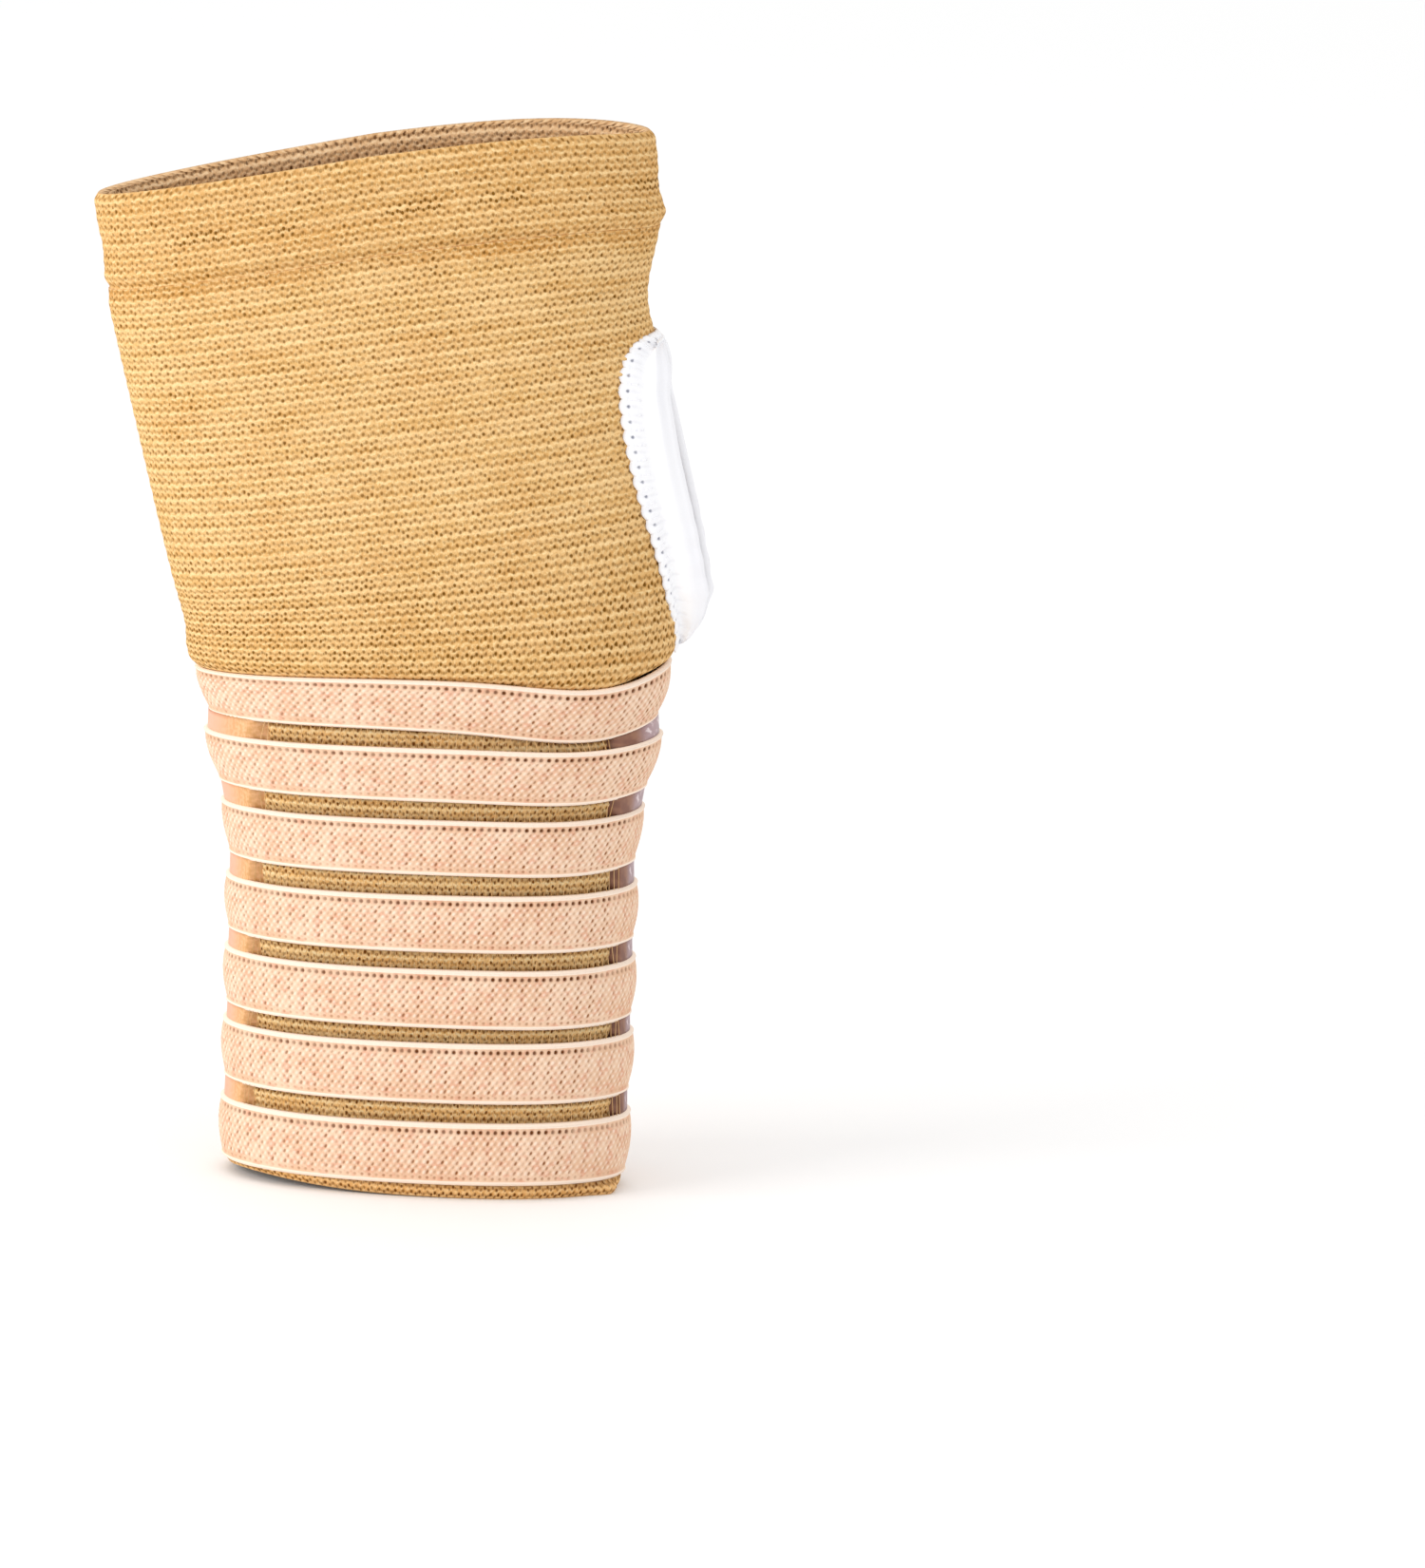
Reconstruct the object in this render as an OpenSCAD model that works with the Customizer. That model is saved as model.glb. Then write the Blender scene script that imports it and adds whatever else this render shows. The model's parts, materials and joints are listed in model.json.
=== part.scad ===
// Elastic knitted wrist support: a fingerless sleeve for the palm and wrist with a thumb opening
// on one side, and a seven-rib ladder elastic wrap round the wrist that closes at the back with a
// hook-and-loop tab. It stands on its wrist-end hem, fingers up, thumb side towards +X.

/* [Sleeve] */
// Length of the sleeve along its centre line
sleeve_len = 178; // [170:1:190]
// Width at the wrist-end hem
wrist_w = 67.4; // [60:0.2:74]
// Width at the base of the thumb
palm_w = 82.4; // [76:0.2:88]
// Width at the finger end
cuff_w = 95; // [88:0.5:104]
// Depth, front to back, at the wrist-end hem
wrist_d = 35; // [32:0.5:40]
// Depth, front to back, at the base of the thumb
palm_d = 37; // [34:0.5:42]
// Depth, front to back, at the finger end
cuff_d = 33; // [30:0.5:38]
// Thickness of the knitted wall
knit_t = 1.6; // [1.2:0.1:2]
// Sideways lean reached at the top of the wrist, in degrees
wrist_lean = 2.2; // [0:0.1:4]
// Sideways lean of the palm and fingers, away from the thumb, in degrees
palm_lean = 9.9; // [6:0.1:12]
// Exponent that makes the sections slightly squarer than an ellipse
section_power = 2.2; // [2:0.05:2.6]

/* [Hems] */
// Height of the turned-in band at the finger end
welt_h = 17.5; // [14:0.5:20]
// How far the finger-end band stands proud of the knit below it
welt_proud = 0.8; // [0.4:0.1:1.2]
// Height of the turned-in hem at the wrist end
hem_h = 6; // [5:0.5:8]

/* [Wrist crease] */
// Height of the level where the wrist bends, along the centre line
crease_s = 92.2; // [91.5:0.1:93]
// Height of the stretch of knit that bends
crease_h = 8.2; // [8:0.1:8.6]

/* [Elastic wrap] */
// Number of woven ribs
rib_count = 7; // [7:1:7]
// Level of the lower edge of the lowest rib
wrap_start = 3.6; // [3:0.1:4]
// Height of the top rib, which is stretched round the widest part
rib_top_h = 8.5; // [8:0.1:8.8]
// Height of the lowest rib
rib_low_h = 10.4; // [9.8:0.1:10.6]
// Height of the clear gap between two ribs
gap_h = 3.3; // [3:0.1:3.5]
// Thickness of a rib
rib_t = 1.6; // [1.2:0.1:1.8]
// Thickness of the clear monofilament ladder between the ribs
mesh_t = 0.5; // [0.4:0.1:0.8]
// How far the knit under the wrap lies inside the hem and the palm
wrap_tuck = 1.2; // [0:0.1:1.6]

/* [Thumb opening] */
// Level of the lowest point of the white binding
thumb_low = 92.6; // [92.5:0.1:94]
// Level of the highest point of the white binding
thumb_high = 143; // [138:0.5:146]
// Half width of the binding's footprint on the sleeve
thumb_half_w = 10.8; // [9:0.2:11.6]
// How far the collar stands out beyond the side at the base of the thumb
collar_low_proud = 6.5; // [4:0.5:8]
// How far the collar stands out beyond the side at its top
collar_top_proud = 0.5; // [0.2:0.1:2]
// Thickness of the binding
trim_t = 1.6; // [1.2:0.1:2]

/* [Closure] */
// Angle round the section where the tab's free end lies
tab_end_deg = 54; // [54:9:54]
// Angle round the section where the tab is rooted
tab_root_deg = 108; // [108:9:108]
// Length of the folded tape over the wrap's cut end, as an angle round the section
binding_deg = 9; // [9:9:9]
// Length of the hook strip, as an angle round the section
hook_deg = 27; // [18:9:36]

/* [Hidden] */

around = 40;
grid_deg = 360 / around;
squareness = 2 / section_power;
bend_start = 85;
bend_end = 108;
flare_start = 55;
flare_end = 98;
clearance = 0.3;
touch = 0.08;
tuck_run = 8;
tape_steps = 18;
stitch_gap = 0.36;
seam_deg = -1.5 * grid_deg;
seam_half_deg = grid_deg / 2;
seam_t = 1.1;
stitch_t = 0.6;
lining_t = 1.2;

wrist_top = crease_s - crease_h / 2;
hand_low = crease_s + crease_h / 2;
welt_low = sleeve_len - welt_h;

// Layers of the wrap, as distances out from the knit's outer surface
wrap_in = clearance;
wrap_out = wrap_in + rib_t;
loop_in = wrap_out + touch;
loop_out = loop_in + 0.7;
hook_in = loop_out + clearance;
hook_out = hook_in + 0.8;
end_in = hook_out + touch;
end_out = end_in + 1.4;
binding_out = end_out + 0.5;

// The thumb collar follows an egg whose blunt end is towards the fingers
thumb_steps = 36;
egg_skew = 0.3;
egg_blunt = 0.62;
thumb_mid = (thumb_low + thumb_high) / 2;
rim_low = thumb_low + 2.4;
rim_high = thumb_high - 1;
rim_share = 0.72;
collar_fade_end = 131;
hole_margin = 2;

function ramp(x, low, high) =
    let (t = min(max((x - low) / (high - low), 0), 1)) t * t * (3 - 2 * t);
function slope(x, low, high) = min(max((x - low) / (high - low), 0), 1);

// Half width and half depth of the knit's outer surface at level s along the centre line
function half_w(s) = (wrist_w + (palm_w - wrist_w) * ramp(s, flare_start, flare_end)
    + (cuff_w - palm_w) * slope(s, flare_end, welt_low)) / 2;
function half_d(s) = (wrist_d + (palm_d - wrist_d) * ramp(s, flare_start, flare_end)
    + (cuff_d - palm_d) * slope(s, flare_end, welt_low)) / 2;

// Centre line as [x, z, lean]: a slight arc up the wrist, a tighter one, then straight
function arc_end(from, turn, len) =
    let (half = turn / 2, chord = turn == 0 ? len : len * sin(half) * 180 / (half * PI))
    [from[0] - chord * sin(from[2] + half), from[1] + chord * cos(from[2] + half), from[2] + turn];
function spine(s) =
    s <= bend_start ? arc_end([0, 0, 0], wrist_lean * s / bend_start, s) :
    s <= bend_end ? arc_end(spine(bend_start),
        (palm_lean - wrist_lean) * slope(s, bend_start, bend_end), s - bend_start) :
    arc_end(spine(bend_end), 0, s - bend_end);

function signed_pow(v, e) = sign(v) * pow(abs(v), e);
function from_spine(s, u, y) =
    let (c = spine(s)) [c[0] + u * cos(c[2]), y, c[1] + u * sin(c[2])];

// Point at level s, angle a round the section (0 thumb side, 90 back), off outside the knit
function surf(s, a, off) = from_spine(s,
    (half_w(s) + off) * signed_pow(cos(a), squareness),
    (half_d(s) + off) * signed_pow(sin(a), squareness));

// Point on the thumb side at level s and depth y, off outside the knit
function side_u(s, y, off) = (half_w(s) + off)
    * pow(max(1 - pow(abs(y) / (half_d(s) + off), section_power), 0), 1 / section_power);
function side_point(s, y, off) = from_spine(s, side_u(s, y, off), y);

function rib_h(k) = rib_top_h + (rib_low_h - rib_top_h) * (k - 1) / (rib_count - 1);
function rib_z(k) = k == rib_count ? wrap_start : rib_z(k + 1) + rib_h(k + 1) + gap_h;
wrap_end = rib_z(1) + rib_h(1);

function egg_s(t, low, high) = (low + high) / 2 - (high - low) / 2 * cos(t);
function egg_y(t) = thumb_half_w * (1 - egg_skew * cos(t))
    * signed_pow(sin(t), cos(t) < 0 ? egg_blunt : 1);
function rim_u(s) = half_w(s) + collar_top_proud
    + (collar_low_proud - collar_top_proud) * (1 - ramp(s, rim_low, collar_fade_end));
function shrink(t, by) = (thumb_half_w - by) / thumb_half_w * egg_y(t);

// The part's box is centred on the origin and rests on the floor
left_points = [for (s = [welt_low : 2 : sleeve_len]) surf(s, 180, welt_proud)[0]];
right_points = [for (t = [0 : 10 : 360])
    let (s = egg_s(t, rim_low, rim_high)) from_spine(s, rim_u(s), 0)[0]];
origin_x = (min(left_points) + max(right_points)) / 2;
origin_y = (end_out - wrap_out) / 2;
module place() translate([-origin_x, -origin_y, 0]) children();

// Closed ring: a loop of [level, off] points carried all the way round the section
module ring(profile) {
    m = len(profile);
    points = [for (i = [0 : around - 1]) for (p = profile) surf(p[0], i * grid_deg, p[1])];
    faces = [for (i = [0 : around - 1]) for (j = [0 : m - 1])
        let (a = i * m + j, b = i * m + (j + 1) % m,
            c = ((i + 1) % around) * m + (j + 1) % m, d = ((i + 1) % around) * m + j)
        each [[a, c, b], [a, d, c]]];
    place() polyhedron(points, faces);
}

// Part of a ring: each section is [angle, loop of points], and the ends are closed
module skin(sections) {
    m = len(sections[0][1]);
    points = [for (q = sections) for (p = q[1]) surf(p[0], q[0], p[1])];
    sides = [for (i = [0 : len(sections) - 2]) for (j = [0 : m - 1])
        let (a = i * m + j, b = i * m + (j + 1) % m,
            c = (i + 1) * m + (j + 1) % m, d = (i + 1) * m + j)
        each [[a, c, b], [a, d, c]]];
    last = (len(sections) - 1) * m;
    ends = [for (j = [0 : m / 2 - 2]) let (k = m - 1 - j)
        each [[j, k - 1, k], [j, j + 1, k - 1],
            [last + j, last + k, last + k - 1], [last + j, last + k - 1, last + j + 1]]];
    place() polyhedron(points, concat(sides, ends));
}

// Strip of one profile from angle a0 to a1
module arc_strip(profile, a0, a1, steps)
    skin([for (i = [0 : steps]) [a0 + (a1 - a0) * i / steps, profile]]);

// Levels evenly spaced between two levels, ends included
function levels(low, high, count) = [for (i = [0 : count]) low + (high - low) * i / count];

// The knit under the wrap is drawn in between the hem and the wrist crease
function tuck(s) = -wrap_tuck * ramp(s, hem_h, hem_h + tuck_run)
    * (1 - ramp(s, wrist_top - tuck_run, wrist_top));

// Profile of a wall between two levels: up the inside and down the outside
function wall(low, high, inner, outer, count) = concat(
    [for (s = levels(low, high, count)) [s, inner]],
    [for (s = levels(high, low, count)) [s, outer]]);

module wrist_sleeve()
    color("#d2a566") ring(tucked(wall(hem_h + touch, wrist_top, -knit_t, 0, 12)));

function tucked(profile) = [for (p = profile) [p[0], p[1] + tuck(p[0])]];

module wrist_hem()
    color("#c89a5c") ring(wall(0, hem_h, -knit_t - 0.6, 0, 1));

module wrist_seam()
    color("#a5783f") arc_strip(
        tucked(wall(hem_h + touch, wrist_top, -knit_t - seam_t, -knit_t - touch, 12)),
        seam_deg - seam_half_deg, seam_deg + seam_half_deg, 1);

module wrist_crease()
    color("#dcae6e") ring(wall(wrist_top + touch, hand_low - touch, -knit_t, 0, 2));

module wrap_rib(k)
    color("#f0c9a4") ring(wall(rib_z(k), rib_z(k) + rib_h(k), wrap_in, wrap_out, 2));

module clear_gap(k) {
    low = rib_z(k + 1) + rib_h(k + 1) + touch;
    mid = (wrap_in + wrap_out) / 2;
    color("#c9a191") ring(wall(low, rib_z(k) - touch, mid - mesh_t / 2, mid + mesh_t / 2, 1));
}

module start_binding()
    color("#e9bf99") arc_strip(wall(wrap_start, wrap_end, loop_in, loop_out, tape_steps),
        tab_root_deg - 2 * grid_deg + 1, tab_root_deg - grid_deg, 1);

module loop_strip()
    color("#e4bb96") arc_strip(wall(wrap_start + 1, wrap_end - 1, loop_in, loop_out, tape_steps),
        tab_end_deg - grid_deg, tab_root_deg - 2 * grid_deg, 5);

// Outline of the thumb hole, cut right through the side of the hand sleeve
module thumb_cutter() {
    tilt = spine(thumb_mid)[2];
    outline = [for (i = [0 : thumb_steps - 1])
        let (t = 360 * i / thumb_steps, s = egg_s(t, thumb_low + hole_margin, thumb_high - hole_margin))
        [s - thumb_mid, shrink(t, hole_margin)]];
    centre = from_spine(thumb_mid, 0, 0);
    place() translate(centre) rotate([0, -tilt, 0]) translate([20, 0, 0])
        rotate([0, 90, 0]) linear_extrude(height = 60) polygon([for (p = outline) [-p[0], p[1]]]);
}

module hand_sleeve()
    color("#dcae6e") difference() {
        ring(wall(hand_low, welt_low - touch, -knit_t, 0, 8));
        thumb_cutter();
    }

module palm_seam()
    color("#a5783f") arc_strip(
        wall(thumb_high + 1, welt_low - 1 - touch, -knit_t - seam_t, -knit_t - touch, 2),
        seam_deg - seam_half_deg, seam_deg + seam_half_deg, 1);

module finger_welt()
    color("#d6a869") ring(concat([[welt_low, -knit_t], [sleeve_len - 0.6, -knit_t],
        [sleeve_len, -knit_t + 0.6], [sleeve_len, welt_proud - 0.6],
        [sleeve_len - 0.6, welt_proud], [welt_low + 1.2, welt_proud], [welt_low, 0]]));

module welt_lining()
    color("#b98f58") ring(wall(welt_low, sleeve_len - 1, -knit_t - touch - lining_t,
        -knit_t - touch, 1));

module welt_stitching()
    color("#b5864a") ring(wall(welt_low - 1, welt_low - 0.4, -knit_t - touch - stitch_t,
        -knit_t - touch, 1));

// Closed loop of four-cornered sections, one for each step of the egg
module egg_ring(sections) {
    n = len(sections);
    m = len(sections[0]);
    points = [for (q = sections) each q];
    faces = [for (i = [0 : n - 1]) for (j = [0 : m - 1])
        let (a = i * m + j, b = i * m + (j + 1) % m,
            c = ((i + 1) % n) * m + (j + 1) % m, d = ((i + 1) % n) * m + j)
        each [[a, c, b], [a, d, c]]];
    place() polyhedron(points, faces);
}

function trim_section(t) =
    let (foot = egg_s(t, thumb_low, thumb_high),
        foot_in = egg_s(t, thumb_low + trim_t, thumb_high - trim_t),
        rim = egg_s(t, rim_low, rim_high),
        rim_in = egg_s(t, rim_low + trim_t, rim_high - trim_t))
    [side_point(foot, egg_y(t), 0.1),
        side_point(foot_in, shrink(t, trim_t), 0.1),
        from_spine(rim_in, rim_u(rim), rim_share * shrink(t, trim_t * 1.4)),
        from_spine(rim, rim_u(rim), rim_share * egg_y(t))];

module thumb_binding()
    color("#f6f6f8") egg_ring([for (i = [0 : thumb_steps - 1]) trim_section(360 * i / thumb_steps)]);

function loop_section(t) =
    let (out = egg_s(t, thumb_low - 0.7, thumb_high + 0.7),
        in = egg_s(t, thumb_low - 0.1, thumb_high + 0.1),
        top = stitch_gap + stitch_t)
    [side_point(out, shrink(t, -0.7), stitch_gap), side_point(in, shrink(t, -0.1), stitch_gap),
        side_point(in, shrink(t, -0.1), top), side_point(out, shrink(t, -0.7), top)];

module thumb_stitching()
    color("#ffffff") egg_ring([for (i = [0 : thumb_steps - 1]) loop_section(360 * i / thumb_steps)]);

module end_ribs()
    color("#f0c9a4") for (k = [1 : rib_count])
        arc_strip(wall(rib_z(k), rib_z(k) + rib_h(k), end_in, end_out, 1),
            tab_end_deg, tab_root_deg, 6);

module end_gaps() {
    mid = (end_in + end_out) / 2;
    color("#c9a191") for (k = [1 : rib_count - 1])
        arc_strip(wall(rib_z(k + 1) + rib_h(k + 1) + touch, rib_z(k) - touch,
            mid - mesh_t / 2, mid + mesh_t / 2, 1), tab_end_deg, tab_root_deg, 6);
}

// Tape folded round the cut end of the wrap: a ply on the outside and a lip over the cut
module end_binding() {
    low = wrap_start - 0.3;
    high = wrap_end + 0.3;
    lip = wall(low, high, hook_in, binding_out, tape_steps);
    ply = wall(low, high, end_out + touch, binding_out, tape_steps);
    tape_end = tab_end_deg + binding_deg;
    color("#ecc19a") skin([[tab_end_deg - 2, lip], [tab_end_deg - 0.4, lip],
        [tab_end_deg - 0.2, ply], [(tab_end_deg + tape_end) / 2, ply], [tape_end, ply]]);
}

module hook_strip()
    color("#e8c3a2") arc_strip(
        wall(wrap_start + 1.5, wrap_end - 1.5, hook_in, hook_out, tape_steps),
        tab_end_deg, tab_end_deg + hook_deg, 3);

module binding_stitching()
    color("#fff0e0") for (edge = [wrap_start + 0.6, wrap_end - 1.2])
        arc_strip(wall(edge, edge + stitch_t, binding_out + touch, binding_out + touch + stitch_t, 1),
            tab_end_deg - 1, tab_end_deg + binding_deg - 1, 2);

wrist_sleeve();
wrist_hem();
wrist_seam();
wrist_crease();
for (k = [1 : rib_count]) wrap_rib(k);
for (k = [1 : rib_count - 1]) clear_gap(k);
start_binding();
loop_strip();
hand_sleeve();
palm_seam();
finger_welt();
welt_lining();
welt_stitching();
thumb_binding();
thumb_stitching();
end_ribs();
end_gaps();
end_binding();
hook_strip();
binding_stitching();
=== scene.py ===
"""Elastic knitted wrist support: knitted sleeve, white thumb binding and a seven-rib elastic wrap.

Lengths are millimetres and angles are degrees round a section: 0 is the thumb side, 90 the back.
"""
import json
import math

import bmesh
import bpy
import numpy as np
from mathutils import Matrix, Vector


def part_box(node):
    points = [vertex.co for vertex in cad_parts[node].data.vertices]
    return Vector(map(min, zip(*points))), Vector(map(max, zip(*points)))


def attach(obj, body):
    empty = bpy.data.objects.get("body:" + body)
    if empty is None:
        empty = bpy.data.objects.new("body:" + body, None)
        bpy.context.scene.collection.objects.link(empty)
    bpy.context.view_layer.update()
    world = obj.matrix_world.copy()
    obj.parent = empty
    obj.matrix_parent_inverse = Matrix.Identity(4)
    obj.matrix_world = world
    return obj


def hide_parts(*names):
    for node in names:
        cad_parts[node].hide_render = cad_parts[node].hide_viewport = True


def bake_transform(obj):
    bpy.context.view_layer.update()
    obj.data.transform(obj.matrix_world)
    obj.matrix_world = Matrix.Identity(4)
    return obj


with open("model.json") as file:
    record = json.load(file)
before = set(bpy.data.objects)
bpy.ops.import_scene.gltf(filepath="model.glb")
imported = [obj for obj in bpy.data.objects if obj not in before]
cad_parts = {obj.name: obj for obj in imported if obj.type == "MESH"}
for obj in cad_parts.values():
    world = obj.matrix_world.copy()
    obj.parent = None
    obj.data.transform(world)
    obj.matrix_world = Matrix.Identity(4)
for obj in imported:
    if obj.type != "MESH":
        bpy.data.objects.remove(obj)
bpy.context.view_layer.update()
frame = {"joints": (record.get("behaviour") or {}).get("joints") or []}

MM = 0.001
SEED = 11

# ---- the sleeve's own dimensions
SLEEVE_LEN = 178.0
WRIST_W, PALM_W, CUFF_W = 67.4, 82.4, 95.0
WRIST_D, PALM_D, CUFF_D = 35.0, 37.0, 33.0
FLARE_START, FLARE_END = 55.0, 98.0
BEND_START, BEND_END = 85.0, 108.0
WRIST_LEAN, PALM_LEAN = 2.2, 9.9
SQUARENESS = 2 / 2.2
SECTION_POWER = 2.2
KNIT_T = 1.6
WELT_LOW = 160.5
HEM_H = 6.0
CREASE_LOW, CREASE_HIGH = 88.1, 96.3
PALM_LOW, PALM_HIGH = 85.0, WELT_LOW + 0.6
WRIST_HIGH, BAND_MID = 86.0, 170.0
TUCK, TUCK_RUN = 1.2, 8.0
RIBS = 7
RIB_TOP_H, RIB_LOW_H, GAP_H, WRAP_START = 8.5, 10.4, 3.3, 3.6
WRAP_IN, WRAP_OUT = 0.3, 1.9
LOOP_IN, LOOP_OUT = 1.98, 2.68
HOOK_IN, HOOK_OUT = 2.98, 3.78
END_IN, END_OUT = 3.86, 5.26
TAB_END, TAB_ROOT = 54.0, 108.0
TAPE_EDGE, TAPE_STITCH = 63.0, 60.2          # degrees to the end tape's inner edge and its stitching
START_TAPE = (91.0, 99.0)
LOOP_STRIP, HOOK_STRIP = (45.0, 90.0), (54.5, 81.0)
THUMB_LOW, THUMB_HIGH, THUMB_HALF = 90.2, 139.9, 9.8
THUMB_MARGIN = 0.9   # how far the knit runs on under the binding
RIM_LOW, RIM_HIGH, RIM_SHARE = 91.0, 138.8, 0.72
SEAM_DEG = -13.5
SEAM_IN = -KNIT_T - 0.2

# ---- the fabrics
WALES = 124          # stitch columns round the sleeve
WALE = 1.64          # width of a stitch column, for the knit's colour
COURSE = 2.56        # height of one repeat of the knit
WELT_ROW, CREASE_ROW = WELT_LOW / COURSE, CREASE_LOW / COURSE
RIB_COLUMNS = 140    # stitch columns round a rib
RIB_PITCH = 1.24     # width of one of them
RIB_FIELD_TOP, RIB_ROW = 0.305, 0.1625   # first row of leaning gaps, and row height, as shares of the rib
LOBES = 50           # stitches round the thumb binding
FILM_COLUMNS = 72    # closely set strands in a panel
FILM_U, FILM_STEP = 1000, 500   # weave columns at which the thumb side's panels start, and the far side's


def ramp(x, low, high):
    t = np.clip((np.asarray(x, float) - low) / (high - low), 0, 1)
    return t * t * (3 - 2 * t)


def slope(x, low, high):
    return np.clip((np.asarray(x, float) - low) / (high - low), 0, 1)


def half(s, wrist, palm, cuff):
    """Half of a measure at level s, from its values at the wrist, the palm and the finger end."""
    return (wrist + (palm - wrist) * ramp(s, FLARE_START, FLARE_END)
            + (cuff - palm) * slope(s, FLARE_END, WELT_LOW)) / 2


def half_w(s):
    return half(s, WRIST_W, PALM_W, CUFF_W)


def half_d(s):
    return half(s, WRIST_D, PALM_D, CUFF_D)


def arc_end(x, z, lean, turn, length):
    """End of an arc that starts at x, z with a lean and turns on by turn, in radians."""
    chord = length * np.sinc(turn / 2 / np.pi)
    direction = lean + turn / 2
    return x - chord * np.sin(direction), z + chord * np.cos(direction), lean + turn


def spine(s):
    """Centre line at level s: x, z and lean in radians."""
    s = np.asarray(s, float)
    wrist = np.minimum(s, BEND_START)
    bend = np.clip(s - BEND_START, 0, BEND_END - BEND_START)
    turn = np.radians(PALM_LEAN - WRIST_LEAN) * bend / (BEND_END - BEND_START)
    x, z, lean = arc_end(0.0, 0.0, 0.0, np.radians(WRIST_LEAN) * wrist / BEND_START, wrist)
    x, z, lean = arc_end(x, z, lean, turn, bend)
    return arc_end(x, z, lean, 0.0, np.maximum(s - BEND_END, 0))


def bump_at(distance, width):
    return np.exp(-(distance / width) ** 2)


def wrapped(x, period=1.0):
    """Distance to the nearest multiple of the period, with its sign."""
    return (x + period / 2) % period - period / 2


hem_low, hem_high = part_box("wrist_hem")
ORIGIN = np.array([(hem_low.x + hem_high.x) / 2, (hem_low.y + hem_high.y) / 2, 0]) / MM
ORIGIN[0] += float(spine(HEM_H)[0]) / 2 * -1


def from_spine(s, u, y):
    """Point at level s, u across from the centre line and y back. The worn-in sides are not quite CAD."""
    x, z, lean = spine(s)
    share = u / half_w(s)
    thumb_in = 3.2 * bump_at(s - 146, 10) + 1.1 * ramp(s, 158, 164)
    far_in = 1.3 * ramp(s, 155, 163) - 0.7 * bump_at(s - 122, 24)
    u = u - thumb_in * np.clip(share, 0, 1) ** 2 + far_in * np.clip(-share, 0, 1) ** 2
    return np.stack(np.broadcast_arrays(x + u * np.cos(lean), y, z + u * np.sin(lean)), -1) + ORIGIN


def signed_pow(v, e):
    return np.sign(v) * np.abs(v) ** e


def surf(s, deg, off):
    a = np.radians(deg)
    return from_spine(s, (half_w(s) + off) * signed_pow(np.cos(a), SQUARENESS),
                      (half_d(s) + off) * signed_pow(np.sin(a), SQUARENESS))


def side_point(s, y, off):
    rest = np.maximum(1 - (np.abs(y) / (half_d(s) + off)) ** SECTION_POWER, 0)
    return from_spine(s, (half_w(s) + off) * rest ** (1 / SECTION_POWER), y)


def section_degrees(s, shares):
    """Angles of points spaced evenly along the section at level s; shares run from 0 to 1."""
    quarter = np.linspace(0, np.pi / 2, 160)
    x = float(half_w(s)) * np.cos(quarter) ** SQUARENESS
    y = float(half_d(s)) * np.sin(quarter) ** SQUARENESS
    run = np.concatenate([[0], np.cumsum(np.hypot(np.diff(x), np.diff(y)))])
    whole, part = np.divmod(np.asarray(shares, float) * 4, 1)
    odd = whole % 2 == 1
    turn = np.degrees(np.interp(np.where(odd, 1 - part, part), run / run[-1], quarter))
    return np.where(odd, 90 * (whole + 1) - turn, 90 * whole + turn)


def rib_h(k):
    return RIB_TOP_H + (RIB_LOW_H - RIB_TOP_H) * (k - 1) / (RIBS - 1)


def rib_z(k):
    return WRAP_START if k == RIBS else rib_z(k + 1) + rib_h(k + 1) + GAP_H


WRAP_END = rib_z(1) + rib_h(1)
SAG = [None, (0.3, 2.8), (0.2, 1.2), (0.4, 0.7), (0.9, 0.3), (0.8, 0.4), (0.4, 0.1), (0.7, 0.0)]
RIB_FOOT = 0.35


def sag(k, deg):
    """How far rib k has slipped down at angle deg; most towards the thumb in front, none at the back."""
    base, thumb = SAG[k]
    deg = np.asarray(deg, float) % 360
    back = ramp(deg, 15, 40) * (1 - ramp(deg, 125, 165))
    return (base + thumb * bump_at(wrapped(deg + 48, 360), 32)) * (1 - back)


# ---- meshes
def add(name, data):
    """Puts a new object with this data in the scene."""
    thing = bpy.data.objects.new(name, data)
    bpy.context.scene.collection.objects.link(thing)
    return thing


def unit(vectors):
    return vectors / np.maximum(np.linalg.norm(vectors, axis=-1, keepdims=True), 1e-9)


def volume(points, faces):
    a, b, c, d = (points[faces[:, i]] for i in range(4))
    return ((a * np.cross(b, c)).sum() + (a * np.cross(c, d)).sum()) / 6


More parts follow.
